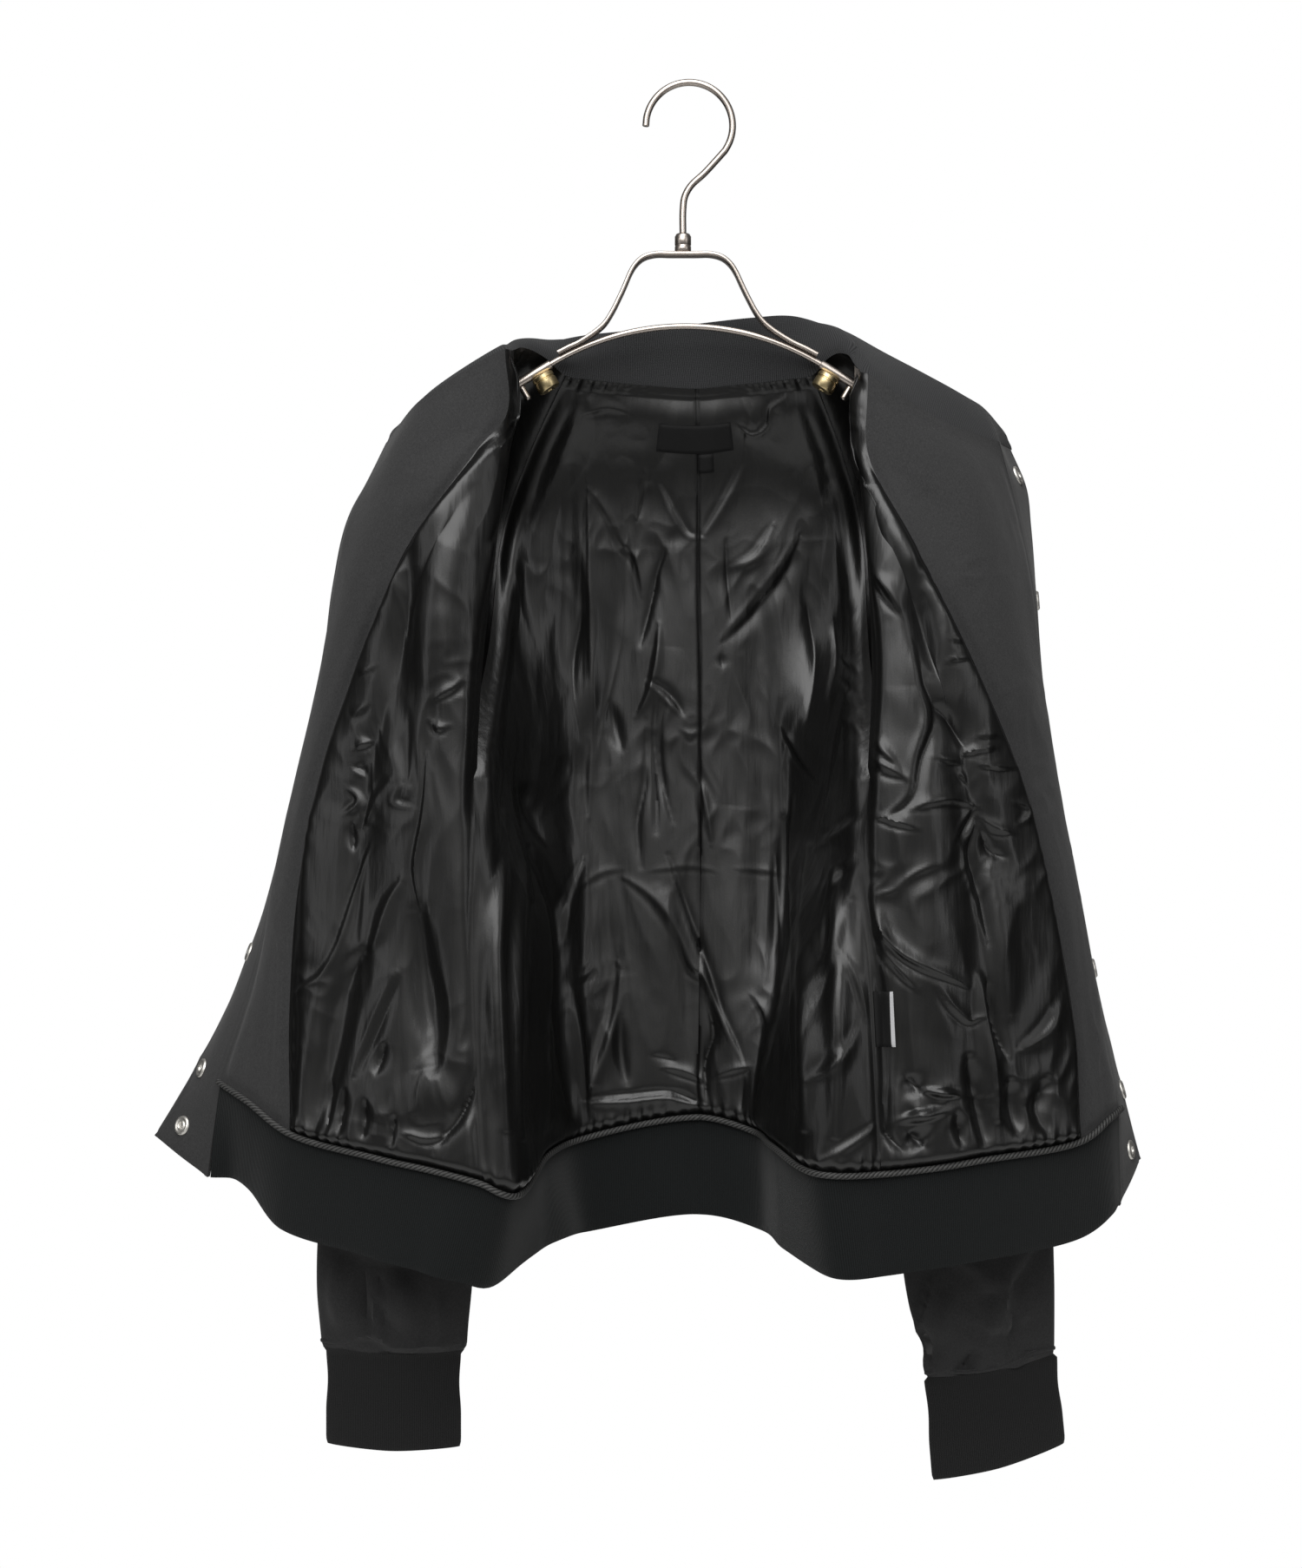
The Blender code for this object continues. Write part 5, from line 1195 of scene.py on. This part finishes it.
def melton(name, color):
    """Fulled wool: a short matt nap with a few paler hairs."""
    finish = Finish(name, color, 0.92, Sheen_Weight=0.10, Sheen_Roughness=0.5, Specular_IOR_Level=0.15)
    places = finish.places()
    hairs = finish.noise(finish.places(stretch=(1, 1, 0.6)), 1500, 3.0, 0.65, 1.2)
    finish.vary(finish.sharpened(hairs, 0.38, 0.76), 0.80, 1.45)
    finish.raise_by(hairs, 0.00020, 0.6)
    finish.raise_by(finish.noise(places, 260, 3.0), 0.0003, 0.5)
    finish.raise_by(finish.noise(places, 45, 2.0), 0.0012, 0.35)
    return finish.made


def satin(name, color, roughness):
    """Lining satin: an even sheen over small soft crinkles."""
    finish = Finish(name, color, roughness, Specular_IOR_Level=0.5)
    places = finish.places()
    fine = finish.noise(finish.places(stretch=(1.0, 1.0, 0.45)), 60, 2.0, 0.45, 0.6)
    finish.raise_by(fine, 0.0009, 0.35)
    sharp = finish.noise(finish.places(stretch=(1.0, 1.0, 0.6)), 38, 2.0, 0.5, 0.4, "RIDGED_MULTIFRACTAL")
    patches = finish.sharpened(finish.noise(places, 14, 1.0), 0.48, 0.62)
    finish.raise_by(product(finish.tree, sharp, patches), 0.0016, 0.45)
    streaks = finish.noise(finish.places(stretch=(1.0, 1.0, 0.12)), 230, 2.0, 0.5)
    finish.raise_by(streaks, 0.0006, 0.4)
    finish.raise_by(finish.noise(places, 1100, 1.0), 0.00005, 0.5)
    finish.spread(finish.noise(places, 22, 2.0), roughness - 0.04, roughness + 0.06)
    return finish.made


def rib_knit(name, color):
    """A fine one-by-one rib down the cloth."""
    finish = Finish(name, color, 0.95, Sheen_Weight=0.08, Specular_IOR_Level=0.15)
    along = finish.places("UV")
    ribs = finish.lines(along, 0.0011, "X", 0.25)
    # The colour follows the ribs' height: darker in the grooves and lighter on the ridges. This is painted
    # shade and painted highlight.
    finish.vary(ribs, 0.6, 1.4)
    finish.raise_by(ribs, 0.00025, 0.6)
    loops = finish.lines(along, 0.0008, "Y", 0.6)
    finish.raise_by(loops, 0.00010, 0.5)
    finish.raise_by(finish.noise(finish.places(), 1100, 2.0), 0.00012, 0.6)
    return finish.made


def woven(name, color, roughness=0.6, pale_edge=None):
    """A tape or label. Beyond pale_edge, in metres across it, its cut edge shows pale."""
    finish = Finish(name, color, roughness, Specular_IOR_Level=0.2)
    along = finish.places("UV")
    if pale_edge is not None:
        across = add_node(finish.tree, "ShaderNodeSeparateXYZ", Vector=along).outputs["X"]
        finish.vary(finish.sharpened(across, pale_edge, pale_edge + 0.0003), 1.0, 120.0)
    finish.raise_by(finish.lines(along, 0.0005, "X"), 0.00006, 0.6)
    finish.raise_by(finish.lines(along, 0.0005, "Y"), 0.00006, 0.6)
    return finish.made


def overlocked(name, color):
    """A rolled edge under slanted overlock stitches."""
    finish = Finish(name, color, 0.6, Specular_IOR_Level=0.35)
    along = finish.places("UV")
    stitches = finish.lines(along, 0.0014, "DIAGONAL", 0.8)
    finish.vary(finish.sharpened(stitches, 0.15, 0.5), 0.15, 1.2)
    finish.raise_by(stitches, 0.0004, 0.8)
    return finish.made


def brushed(name, color, roughness):
    """Metal with fine brush marks."""
    finish = Finish(name, color, roughness, 1.0)
    marks = finish.noise(finish.places(), 1400, 3.0, 0.7)
    finish.vary(marks, 0.82, 1.12)
    finish.spread(marks, roughness - 0.08, roughness + 0.12)
    finish.raise_by(marks, 0.00003, 0.4)
    return finish.made


# ---------------------------------------------------------------- the garment's pieces

def shared(normals, key_a, at_a, key_b, at_b):
    """Makes two edges of the grid share their normals."""
    normals[key_a][at_a] = normals[key_b][at_b] = unit(normals[key_a][at_a] + normals[key_b][at_b])


def welded_normals(grid):
    """Outward normals of every range, evened out along the seams."""
    normals = {(side, piece): outward_normals(side, points) for (side, piece), points in grid.items()}
    every, upper, lower = slice(None), slice(0, len(UPPER_ROWS)), slice(len(UPPER_ROWS), None)
    seams = (
        ("facing", (every, -1), "front", (every, 0)),
        ("front", (upper, -1), "sleeve", (upper, 0)),
        ("sleeve", (upper, -1), "back", (upper, 0)),
        ("sleeve", (lower, -1), "sleeve", (lower, 0)),
        ("front", (lower, -1), "back", (lower, 0)),
        ("sleeve", (-1, every), "cuff", (0, every)),
    )
    for side in SIDES:
        for a, at_a, b, at_b in seams:
            shared(normals, (side, a), at_a, (side, b), at_b)
        first = 0
        for piece in ("facing", "front", "back"):
            span = slice(first, first + COLUMNS[piece] + 1)
            shared(normals, (side, piece), (-1, every), (side, "hem"), (0, span))
            first += COLUMNS[piece]
    for piece in ("back", "hem"):
        shared(normals, ("r", piece), (every, -1), ("l", piece), (every, -1))
    return normals


def ordered(side, *ranges):
    """The ranges with their columns from left to right on either side, as wall() needs them."""
    return [turned(r) if side == "l" else r for r in ranges]


def lined(side, piece, grid, normals, look, finishes, name, slot):
    """A lining piece: its visible face lies inside the grid by the plies and by its own folds."""
    points, normal = grid[side, piece], normals[side, piece]
    x, z = seen(points - normal * RIB)
    away = from_edges(points)
    edge = np.ones(points.shape[:2])
    for key in away:
        if (piece, key) != ("back", "last"):
            reach = look["reach"] * (FLAT_TOP if key == "top" else 1)
            edge = edge * (1 - near(away[key], reach))
    lift = look["ease"] + creased(look["folds"], x, z)
    lift += drape(points, look["across"], look["down"], look["wrinkle"], look["seed"])
    lift = edge * lift
    lift = np.where(lift < 1, np.exp(np.minimum(lift, 1) - 1), lift)
    if piece != "facing":
        seam = away["last" if piece == "front" else "first"]
        below = smooth_step((away["top"] - away["top"][UNDERARM_ROW * ROW_STEPS]) / SIDE_SEAM_START)
        at_seam = near(seam, look["reach"]) * (1 - near(away["bottom"], look["reach"]))
        lift += SIDE_SEAM_LIFT * below * at_seam
    lift += edge_puckers(away, look["puckers"])
    if piece == "back":
        lift -= CENTRE_SEAM_DIP * near(away["last"], CENTRE_SEAM_WIDTH)
        lift += NECK_BAND_LIFT * (1 - smooth_step((away["top"] - NECK_BAND) / NECK_BAND_EDGE))
    face = points - normal * (RIB + lift[..., None])
    back = points - normal * (RIB - LINING)
    wall(name, slot, *ordered(side, face, back), finishes, flip=True, coarse=4)
    return face


def edge_puckers(away, puckers):
    """Small puckers where the lining is eased into its seams."""
    total = np.zeros_like(away["top"])
    for edge, pitch, reach, height in puckers:
        along = away["first"] if edge in ("top", "bottom") else away["top"]
        d = away[edge]
        wave = np.sin(2 * math.pi * along / pitch + 1.7 * np.sin(along / 17.0) + 0.8 * np.sin(along / 5.3))
        swell = 0.6 + 0.4 * np.sin(along / 23.0 + 1.0)
        fade = near(d, reach * swell) * (1 - near(d, 1.2)) * (1 - near(away["last"], 5))
        total += height * fade * swell * (0.6 + wave)
    return np.maximum(total, 0)


def shell(name, points, normal, table, edges, finishes, puckers=()):
    """A piece of the outer shell, pressed in along its edges, with its own soft folds."""
    folds = creased(table, points[..., 0], points[..., 2])
    away = from_edges(points)
    press = SEAM_DIP * sum(near(away[edge], SEAM_WIDTH) for edge in edges) - edge_puckers(away, puckers)
    depth = np.maximum(press - folds, -OUTSIDE_LIMIT)[..., None]
    wall(name, "cloth", points - normal * depth, points - normal * (depth + SHELL_WALL), finishes)


def thinned(points, side, piece):
    """The outer shell's coarser share of a range. The sleeve below the underarm keeps all its rows."""
    rows, columns = SHELL_THINNING
    if piece == "sleeve":
        return np.vstack([points[: len(UPPER_ROWS) : rows, ::columns], points[len(UPPER_ROWS) :, ::columns]])
    return points[::rows, ::columns]


def build_shell(grid, normals, wool, shaded_sleeve_wool, lining):
    grid = {key: thinned(points, *key) for key, points in grid.items() if key[1] in COLUMNS}
    normals = {key: thinned(normals[key], *key) for key in grid}
    ends, backs = ("top", "bottom"), []
    for side in SIDES:
        front, arm, back = (
            ordered(side, *(joined([data[side, p] for p in pieces]) for data in (grid, normals)))
            for pieces in (("facing", "front"), ("sleeve",), ("back",))
        )
        shell(f"front_{side}", *front, OUTSIDE[side, "front"], ends, [wool])
        folds = OUTSIDE[side, "sleeve"]
        shell(f"sleeve_{side}", *arm, folds, ends, [shaded_sleeve_wool, lining], (SLEEVE_PUCKERS,))
        backs.append(back)
    back = [joined(halves) for halves in zip(*backs)]
    shell("back", *back, OUTSIDE["back"], ("first", "last", *ends), [wool])


def build_inside(grid, normals, wool, lining):
    """The facings and the lining. Returns the visible faces: {(side, piece): points}."""
    faces = {}
    for (side, piece), row in LOOKS.items():
        look = dict(zip(LOOK_NAMES, row))
        name, finish, slot = f"lining_{piece}_{side}", lining, "satin"
        if piece == "facing":
            name, finish, slot = f"facing_{side}", wool, "cloth"
        faces[side, piece] = lined(side, piece, grid, normals, look, [finish], name, slot)
    return faces


def knit_band(name, points, normal, rib, wave=0.0):
    """A band of rib knit folded double: round at its free edge, pressed in along its seam."""
    b = dict(zip(BAND_NAMES, BANDS[name.split("_")[0]]))
    away = from_edges(points)
    fold = b["round"] * near(away[b["edge"]], b["round_width"])
    press = near(away[b["seam"]], BAND_SEAM_WIDTH)
    outer = points - normal * (wave + fold + b["outer_press"] * press)[..., None]
    inner = points - normal * (b["thickness"] + wave - fold - b["inner_press"] * press)[..., None]
    wall(name, "rib", outer, inner, [rib])


def build_hem(grid, normals, rib):
    points, normal = (joined([d["r", "hem"], turned(d["l", "hem"])])[:, ::2] for d in (grid, normals))
    away = from_edges(points)
    u = away["first"]
    wave = HEM_WAVE * np.sin(u / 9.0 + 1.3 * np.sin(u / 41.0)) * near(away["top"], HEM_WAVE_REACH)
    knit_band("hem_rib", points, normal, rib, wave)


def build_hem_roll(faces, normals, thread):
    """The rolled, overlocked edge that covers the hem seam on the inside, from placket to placket."""
    halves = []
    for side in SIDES:
        ends = [
            faces[side, p][-1:] - normals[side, p][-1:] * ROLL_RADIUS - (0, 0, ROLL_DROP)
            for p in ("facing", "front", "back")
        ]
        halves.append(joined(ends))
    path = respaced(joined([halves[0], turned(halves[1])])[0], ROLL_STEPS)
    round_it = np.arange(ROLL_SIDES) / ROLL_SIDES * 2 * math.pi * ROLL_RADIUS
    uv = np.stack(np.meshgrid(walked(path), round_it, indexing="ij"), axis=-1).reshape(-1, 2)
    add_piece("hem_roll", "satin", *round_bar(path, ROLL_RADIUS, ROLL_SIDES), [thread], uv, node=False)


def build_cuffs(grid, normals, rib):
    for side in SIDES:
        knit_band(f"cuff_{side}", *ordered(side, grid[side, "cuff"], normals[side, "cuff"]), rib)


def build_cuff_seams(grid, normals, wool):
    """The raised, stitched-down seam allowance round the bottom of each sleeve."""
    for side in SIDES:
        arm, normal = (data[side, "sleeve"][-CUFF_SEAM_ROWS:][::-1] for data in (grid, normals))
        up = walked(arm).mean(1)
        rise = sum(height * near(arm[0, :, 0] - at, width) for at, width, height in CUFF_SEAM_ABOVE[side])
        sunk = arm - normal * CUFF_SEAM_SUNK
        path = [[np.interp(r, up, sunk[:, k, axis]) for axis in range(3)] for k, r in enumerate(rise)]
        bar = round_bar(np.array(path), CUFF_SEAM_RADIUS, CUFF_SEAM_SIDES)
        add_piece(f"cuff_seam_{side}", "cloth", *bar, [wool], node=False)


def collar_grid(grid, normals):
    """The collar's points and normals, from its free edge down to the neck seam, in the body's columns."""
    order = ("placket", "facing", "front", "sleeve", "back")
    line, normal = (
        joined([data["r", p][:1] for p in order] + [turned(data["l", p][:1]) for p in order[::-1]])[0]
        for data in (grid, normals)
    )
    along = walked(line)
    share = np.linspace(1, 0, COLLAR_LEVELS + 1)[:, None]
    columns = []
    for station, point in zip(along / along[-1], line):
        c = between_rows(COLLAR_TABLE, COLLAR_NAMES, station)
        way = np.array((c["x"], c["y"], c["z"])) - point
        lift = c["bulge"] * np.sin(np.pi * share) + COLLAR_LIFT * share
        columns.append(point + way * share + lift * (0, 0, 1))
    points = np.stack(columns, axis=1)
    facing = grid_normals(points)
    meet = np.clip(share * 6, 0, 1)[..., None]
    facing = facing * meet + normal * (1 - meet)
    return points, unit(facing)


def build_collar(grid, normals, rib):
    knit_band("collar", *(data[:, ::2] for data in collar_grid(grid, normals)), rib)


def build_plackets(grid, normals, wool, metal):
    for side in SIDES:
        strip, normal = grid[side, "placket"], normals[side, "placket"]
        away = from_edges(strip)
        low = near(away["bottom"], 1.6) * (1 - near(away["last"], 4))
        edge = PLACKET_ROUND * (near(away["first"], 1.6) + low + 0.4 * near(away["last"], 1.4))
        rows = [near(away[key] - inset, STITCH_WIDTH) for key, inset in STITCH_ROWS]
        stitch = STITCH_DEPTH * sum(rows)
        outer = strip - normal * (edge + stitch)[..., None]
        inner = strip - normal * (PLACKET - edge - stitch)[..., None]
        outer, inner = ordered(side, outer, inner)
        wall(f"placket_{side}", "cloth", outer, inner, [wool])
        add_snaps(side, strip, normal, metal)


def add_snaps(side, strip, normal, metal):
    """Snap fasteners on the placket: a ringed socket on its inner face and a flat cap on the outer."""
    place = SNAP_AT * (strip.shape[1] - 1)
    low, part = int(place), place % 1
    line = strip[::-1, low] * (1 - part) + strip[::-1, low + 1] * part
    along = walked(line)
    for number, height in enumerate(SNAP_HEIGHTS, 1):
        point, out = (
            np.array([np.interp(height, along, data[:, k]) for k in range(3)])
            for data in (line, normal[::-1, low])
        )
        out = unit(out)
        points, faces = [], []
        for profile, turn, depth in ((SOCKET, -1, PLACKET), (CAP, 1, 0)):
            matrix = facing_matrix(point - out * depth, out * turn)
            more, more_faces = turned_parts(profile, SNAP_SIDES, matrix, len(points))
            points += more
            faces += more_faces
        add_piece(f"snap_{side}_{number}", "snap_metal", points, faces, [metal])


def turned_parts(profile, sides, matrix, start):
    """Points and faces of a turned solid from (radius, z) pairs that start and end on the axis."""
    points, rings = [], []
    for radius, z in profile:
        turns = [2 * math.pi * k / sides for k in range(sides if radius else 1)]
        rings.append([start + len(points) + k for k in range(len(turns))] * (1 if radius else sides))
        points += [
            tuple(matrix @ Vector((radius * math.cos(t), radius * math.sin(t), z))) for t in turns
        ]
    faces = []
    for low, high in zip(rings, rings[1:]):
        for k in range(sides):
            n = (k + 1) % sides
            faces.append(tuple(dict.fromkeys((low[k], low[n], high[n], high[k]))))
    return points, faces


def patch(face, rows, columns):
    """Points at given places of a lining piece's visible face, in table rows and shares of its width."""
    r = np.clip(np.array(rows) * ROW_STEPS, 0, len(face) - 1.001)
    c = np.clip(np.array(columns) * (face.shape[1] - 1), 0, face.shape[1] - 1.001)
    r0, c0 = r.astype(int), c.astype(int)
    fr, fc = (r - r0)[:, None, None], (c - c0)[None, :, None]
    top = face[np.ix_(r0, c0)] * (1 - fc) + face[np.ix_(r0, c0 + 1)] * fc
    low = face[np.ix_(r0 + 1, c0)] * (1 - fc) + face[np.ix_(r0 + 1, c0 + 1)] * fc
    return top * (1 - fr) + low * fr


def build_labels(faces, tape, care_tape):
    """The bare neck label, the size tab's loop under it and the care label in the left side seam."""
    rows, columns = np.linspace(1.1, 2.0, 24), np.linspace(0.75, 1, 30)
    right, left = (patch(faces[side, "back"], rows, columns) for side in SIDES)
    points = smoothed(smoothed(joined([right, turned(left)]), 60), 60, axis=1)
    add_label("label", points, 0.8, tape)
    points = patch(faces["l", "back"], np.linspace(2.02, 2.65, 16), np.linspace(0.9, 1, 14))
    add_label("size_tab", turned(points), 1.0, tape)
    points = patch(faces["l", "front"], np.linspace(16.2, 17.8, 30), np.linspace(0.9, 0.995, 14))
    add_label("care_label", turned(points), 1.0, care_tape)


def add_label(name, points, thickness, tape):
    """A flat woven label lying on the lining, its edges turned under."""
    normal = grid_normals(points)
    away = from_edges(points)
    edge = (thickness - 0.2) * np.minimum(1, sum(near(away[k], 0.9) for k in away))
    back = points - normal * LABEL_BACK
    face = points - normal * (LABEL_FACE + thickness - edge)[..., None]
    wall(name, "satin", back, face, [tape])


# ---------------------------------------------------------------- the hanger

def rail_point(x):
    """A point of the rail's centre line at a distance x from its middle."""
    slope = math.radians(RAIL_SLOPE)
    bend = RAIL_BEND_RADIUS * math.sin(slope)
    if abs(x) <= bend:
        drop = RAIL_BEND_RADIUS - math.sqrt(RAIL_BEND_RADIUS**2 - x**2)
    else:
        drop = RAIL_BEND_RADIUS * (1 - math.cos(slope)) + (abs(x) - bend) * math.tan(slope)
    return (RAIL_X + x, 0.0, RAIL_TOP_Z - drop)


def hook_path():
    """The hook's wire: a round crook, then a reverse bend into the shank."""
    centre_z = HOOK_WIRE / 2 - HOOK_RADIUS
    crook = []
    for k in range(19):
        angle = math.radians(180 + (HOOK_END_ANGLE - 180) * k / 18)
        crook.append((HOOK_RADIUS * math.cos(angle), 0.0, centre_z + HOOK_RADIUS * math.sin(angle)))
    bend = [(8.5, 0.0, -50.5), (1.0, 0.0, -57.5), (-2.6, 0.0, SHANK_TOP_Z + 2)]
    shank = [(SHANK_X, 0.0, SHANK_TOP_Z - 6), (SHANK_X, 0.0, FERRULE_TOP_Z + HANGER_CLEARANCE)]
    line, _ = smooth_line(crook[-2:] + bend + shank, steps=4)
    return crook[:-2] + [tuple(p) for p in line]


def bow_line():
    """The flat bow's centre line in XZ, left end to right end, lying on the rail at both ends."""
    def on_rail(x):
        p = rail_point(x)
        bend = RAIL_BEND_RADIUS * math.sin(math.radians(RAIL_SLOPE))
        slope = math.asin(min(abs(x), bend) / RAIL_BEND_RADIUS) * (1 if x < 0 else -1)
        lift = RAIL_WIRE / 2 + BOW_THICKNESS / 2 + HANGER_CLEARANCE
        return (p[0] - math.sin(slope) * lift, 0.0, p[2] + math.cos(slope) * lift)

    top = BOW_TOP_Z - BOW_THICKNESS / 2
    foot = [on_rail(x) for x in (-72, -66, -60)]
    leg = [(-50.0, 0, -138.5), (-45.0, 0, -131.5), (-38.5, 0, -118.5), (-32.0, 0, -104.5)]
    corner = [(-26.5, 0, top - 2.0), (-19.5, 0, top), (-11.0, 0, top)]
    mirrored = [(2 * SHANK_X - x, y, z) for x, y, z in corner[::-1]]
    right_leg = [(25.0, 0, -104.5), (32.0, 0, -118.5), (39.0, 0, -131.5), (45.0, 0, -138.5)]
    right_foot = [on_rail(x) for x in (60, 67, 74)]
    line, _ = smooth_line(foot + leg + corner + mirrored + right_leg + right_foot, steps=3)
    return line


def flat_bar(line, thickness, depth):
    """Points and faces of a flat bar with its wide face square to the XZ plane, bent along a line."""
    tangent = unit(np.gradient(line, axis=0))
    up = np.stack([-tangent[:, 2], tangent[:, 1] * 0, tangent[:, 0]], axis=1)
    y, t, ease = depth / 2, thickness / 2, BAR_EASE
    outline = np.array((
        (-y, t - ease), (-y, ease - t), (ease - y, -t), (y - ease, -t), (y, ease - t), (y, t - ease),
        (y - ease, t), (ease - y, t),
    ))
    return loft(line[:, None] + outline[:, :1] * (0, 1, 0) + outline[:, 1:] * up[:, None])


def build_hanger(steel, brass):
    hook, _ = smooth_line(hook_path(), steps=6)
    add_piece("hook", "steel", *eased_bar(hook, HOOK_WIRE / 2, 24), [steel])
    foot = Matrix.Translation((SHANK_X, 0, BOW_TOP_Z + HANGER_CLEARANCE))
    add_piece("ferrule", "steel", *turned_parts(FERRULE, 40, foot, 0), [steel])
    bow, _ = smooth_line(bow_line(), steps=3)
    add_piece("bow", "steel", *flat_bar(bow, BOW_THICKNESS, BOW_DEPTH), [steel])
    reach = ARM_START - HANGER_CLEARANCE
    rail = np.array([rail_point(x) for x in np.linspace(-reach, reach, 61)])
    add_piece("rail", "steel", *eased_bar(rail, RAIL_WIRE / 2, 24), [steel])
    for side, sign in SIDES.items():
        ends = [rail_point(x) for x in sorted((sign * ARM_START, sign * ARM_END))]
        arm = np.linspace(*ends, 9)
        add_piece(f"arm_{side}", "steel", *eased_bar(arm, ARM_TUBE / 2, 28), [steel])
        hang_below(f"nut_{side}", sign * NUT_AT, NUT, 48, brass, "brass")
        hang_below(f"stud_{side}", sign * STUD_AT, STUD, 24, steel, "steel")


def eased_bar(line, radius, sides):
    """Points and faces of a round bar with eased ends."""
    ends = [a + unit(a - b) * 0.15 * radius for a, b in ((line[0], line[1]), (line[-1], line[-2]))]
    radii = radius * np.array([0.8, *[1] * len(line), 0.8])
    return round_bar(np.vstack([ends[0], line, ends[1]]), radii, sides)


def hang_below(name, x, profile, sides, finish, slot):
    """A turned piece hanging square under the arm, its top face just clear of the tube."""
    slope = math.radians(RAIL_SLOPE) * (1 if x < 0 else -1)
    down = Vector((math.sin(slope), 0.0, -math.cos(slope)))
    place = Vector(rail_point(x)) + down * (ARM_TUBE / 2 + HANGER_CLEARANCE)
    parts = turned_parts(profile, sides, facing_matrix(place, down, up=(0, 1, 0)), 0)
    add_piece(name, slot, *parts, [finish])


# ---------------------------------------------------------------- the studio

def add_light(name, place, target, size, power):
    """A soft rectangular light, in metres and watts."""
    data = bpy.data.lights.new(name, "AREA")
    data.shape = "RECTANGLE"
    data.size, data.size_y = size
    data.energy = power
    obj = bpy.data.objects.new(name, data)
    obj.location = place
    obj.rotation_euler = (Vector(target) - Vector(place)).to_track_quat("-Z", "Y").to_euler()
    bpy.context.scene.collection.objects.link(obj)


def build_world():
    """White to the camera; to the cloth, a room that is brighter above than below."""
    world = bpy.data.worlds.new("studio")
    world.use_nodes = True
    tree = world.node_tree
    tree.nodes.clear()
    place = tree.nodes.new("ShaderNodeTexCoord").outputs["Generated"]
    split = add_node(tree, "ShaderNodeSeparateXYZ", Vector=place)
    strength = ROOM_LIGHT
    for axis, steps in (("Z", ROOM_UP), ("Y", ROOM_BACK), ("X", ROOM_ASIDE)):
        share = add_node(tree, "ShaderNodeMapRange", Value=split.outputs[axis], From_Min=-1.0)
        ramp = tree.nodes.new("ShaderNodeValToRGB")
        plug(tree, ramp.inputs[0], share.outputs[0])
        stops = ramp.color_ramp.elements
        while len(stops) < len(steps):
            stops.new(0.5)
        for stop, (at, level) in zip(stops, steps):
            stop.position = at
            stop.color = (level, level, level, 1.0)
        strength = product(tree, strength, ramp.outputs["Color"])
    room = add_node(tree, "ShaderNodeBackground", Color=(1.0, 0.99, 0.97, 1.0), Strength=strength)
    white = add_node(tree, "ShaderNodeBackground", Color=(1.0, 1.0, 1.0, 1.0))
    to_camera = tree.nodes.new("ShaderNodeLightPath").outputs["Is Camera Ray"]
    mix = tree.nodes.new("ShaderNodeMixShader")
    for socket, source in zip(mix.inputs, (to_camera, room.outputs[0], white.outputs[0])):
        plug(tree, socket, source)
    add_node(tree, "ShaderNodeOutputWorld", Surface=mix.outputs[0])
    bpy.context.scene.world = world


def build_studio():
    build_world()
    bpy.ops.mesh.primitive_plane_add(size=4.0, location=(0.0, 0.0, FLOOR_Z * MM))
    floor = bpy.context.object
    floor.name = "floor"
    pale = Finish("floor", (0.85, 0.85, 0.84), 0.9, Emission_Color=(1, 1, 1, 1), Emission_Strength=0.15)
    floor.data.materials.append(pale.made)
    for light in LIGHTS:
        add_light(*light)
    data = bpy.data.cameras.new("camera")
    data.sensor_fit = "VERTICAL"
    data.sensor_height = SENSOR
    data.lens = SENSOR * FOCAL_PIXELS / PHOTO_HEIGHT
    data.clip_start, data.clip_end = 0.05, 50.0
    data.dof.use_dof = False
    camera = bpy.data.objects.new("camera", data)
    camera.location = [v * MM for v in CAMERA]
    camera.rotation_euler = (math.radians(90), 0.0, 0.0)
    bpy.context.scene.collection.objects.link(camera)
    bpy.context.scene.camera = camera
    bpy.context.scene.view_settings.view_transform = "Standard"


def main():
    wool = melton("melton", (0.0285, 0.0285, 0.029))
    # The sleeves' melton is the body's wool made darker: painted shade for sleeves that hang behind the hem
    # and catch less light.
    shaded_sleeve_wool = melton("shaded_sleeve_melton", (0.0225, 0.0225, 0.023))
    lining = satin("satin", (0.0036, 0.0036, 0.0035), 0.31)
    # The hem, cuffs and collar are one black rib knit. Its three tones are painted shade and painted light
    # for how the lamps fall on each band: darkest at the hem, between at the cuffs and lightest at the
    # collar.
    rib = rib_knit("rib", (0.0060, 0.0070, 0.0072))
    cuff_rib = rib_knit("cuff_rib", (0.0108, 0.0109, 0.0111))
    lit_collar_rib = rib_knit("lit_collar_rib", (0.0235, 0.024, 0.025))
    tape = woven("tape", (0.0035, 0.0035, 0.0036), 0.7)
    care_tape = woven("care_tape", (0.0035, 0.0035, 0.0036), 0.7, pale_edge=0.0107)
    steel = brushed("steel", (0.47, 0.42, 0.38), 0.30)
    brass = brushed("brass", (0.62, 0.50, 0.28), 0.32)
    snap_metal = brushed("snap_metal", (0.72, 0.70, 0.66), 0.42)
    grid = garment_grid()
    normals = welded_normals(grid)
    build_shell(grid, normals, wool, shaded_sleeve_wool, lining)
    faces = build_inside(grid, normals, wool, lining)
    build_hem(grid, normals, rib)
    build_hem_roll(faces, normals, overlocked("overlock", (0.040, 0.040, 0.039)))
    build_cuffs(grid, normals, cuff_rib)
    build_cuff_seams(grid, normals, shaded_sleeve_wool)
    build_collar(grid, normals, lit_collar_rib)
    build_plackets(grid, normals, wool, snap_metal)
    build_labels(faces, tape, care_tape)
    build_hanger(steel, brass)
    build_studio()


main()
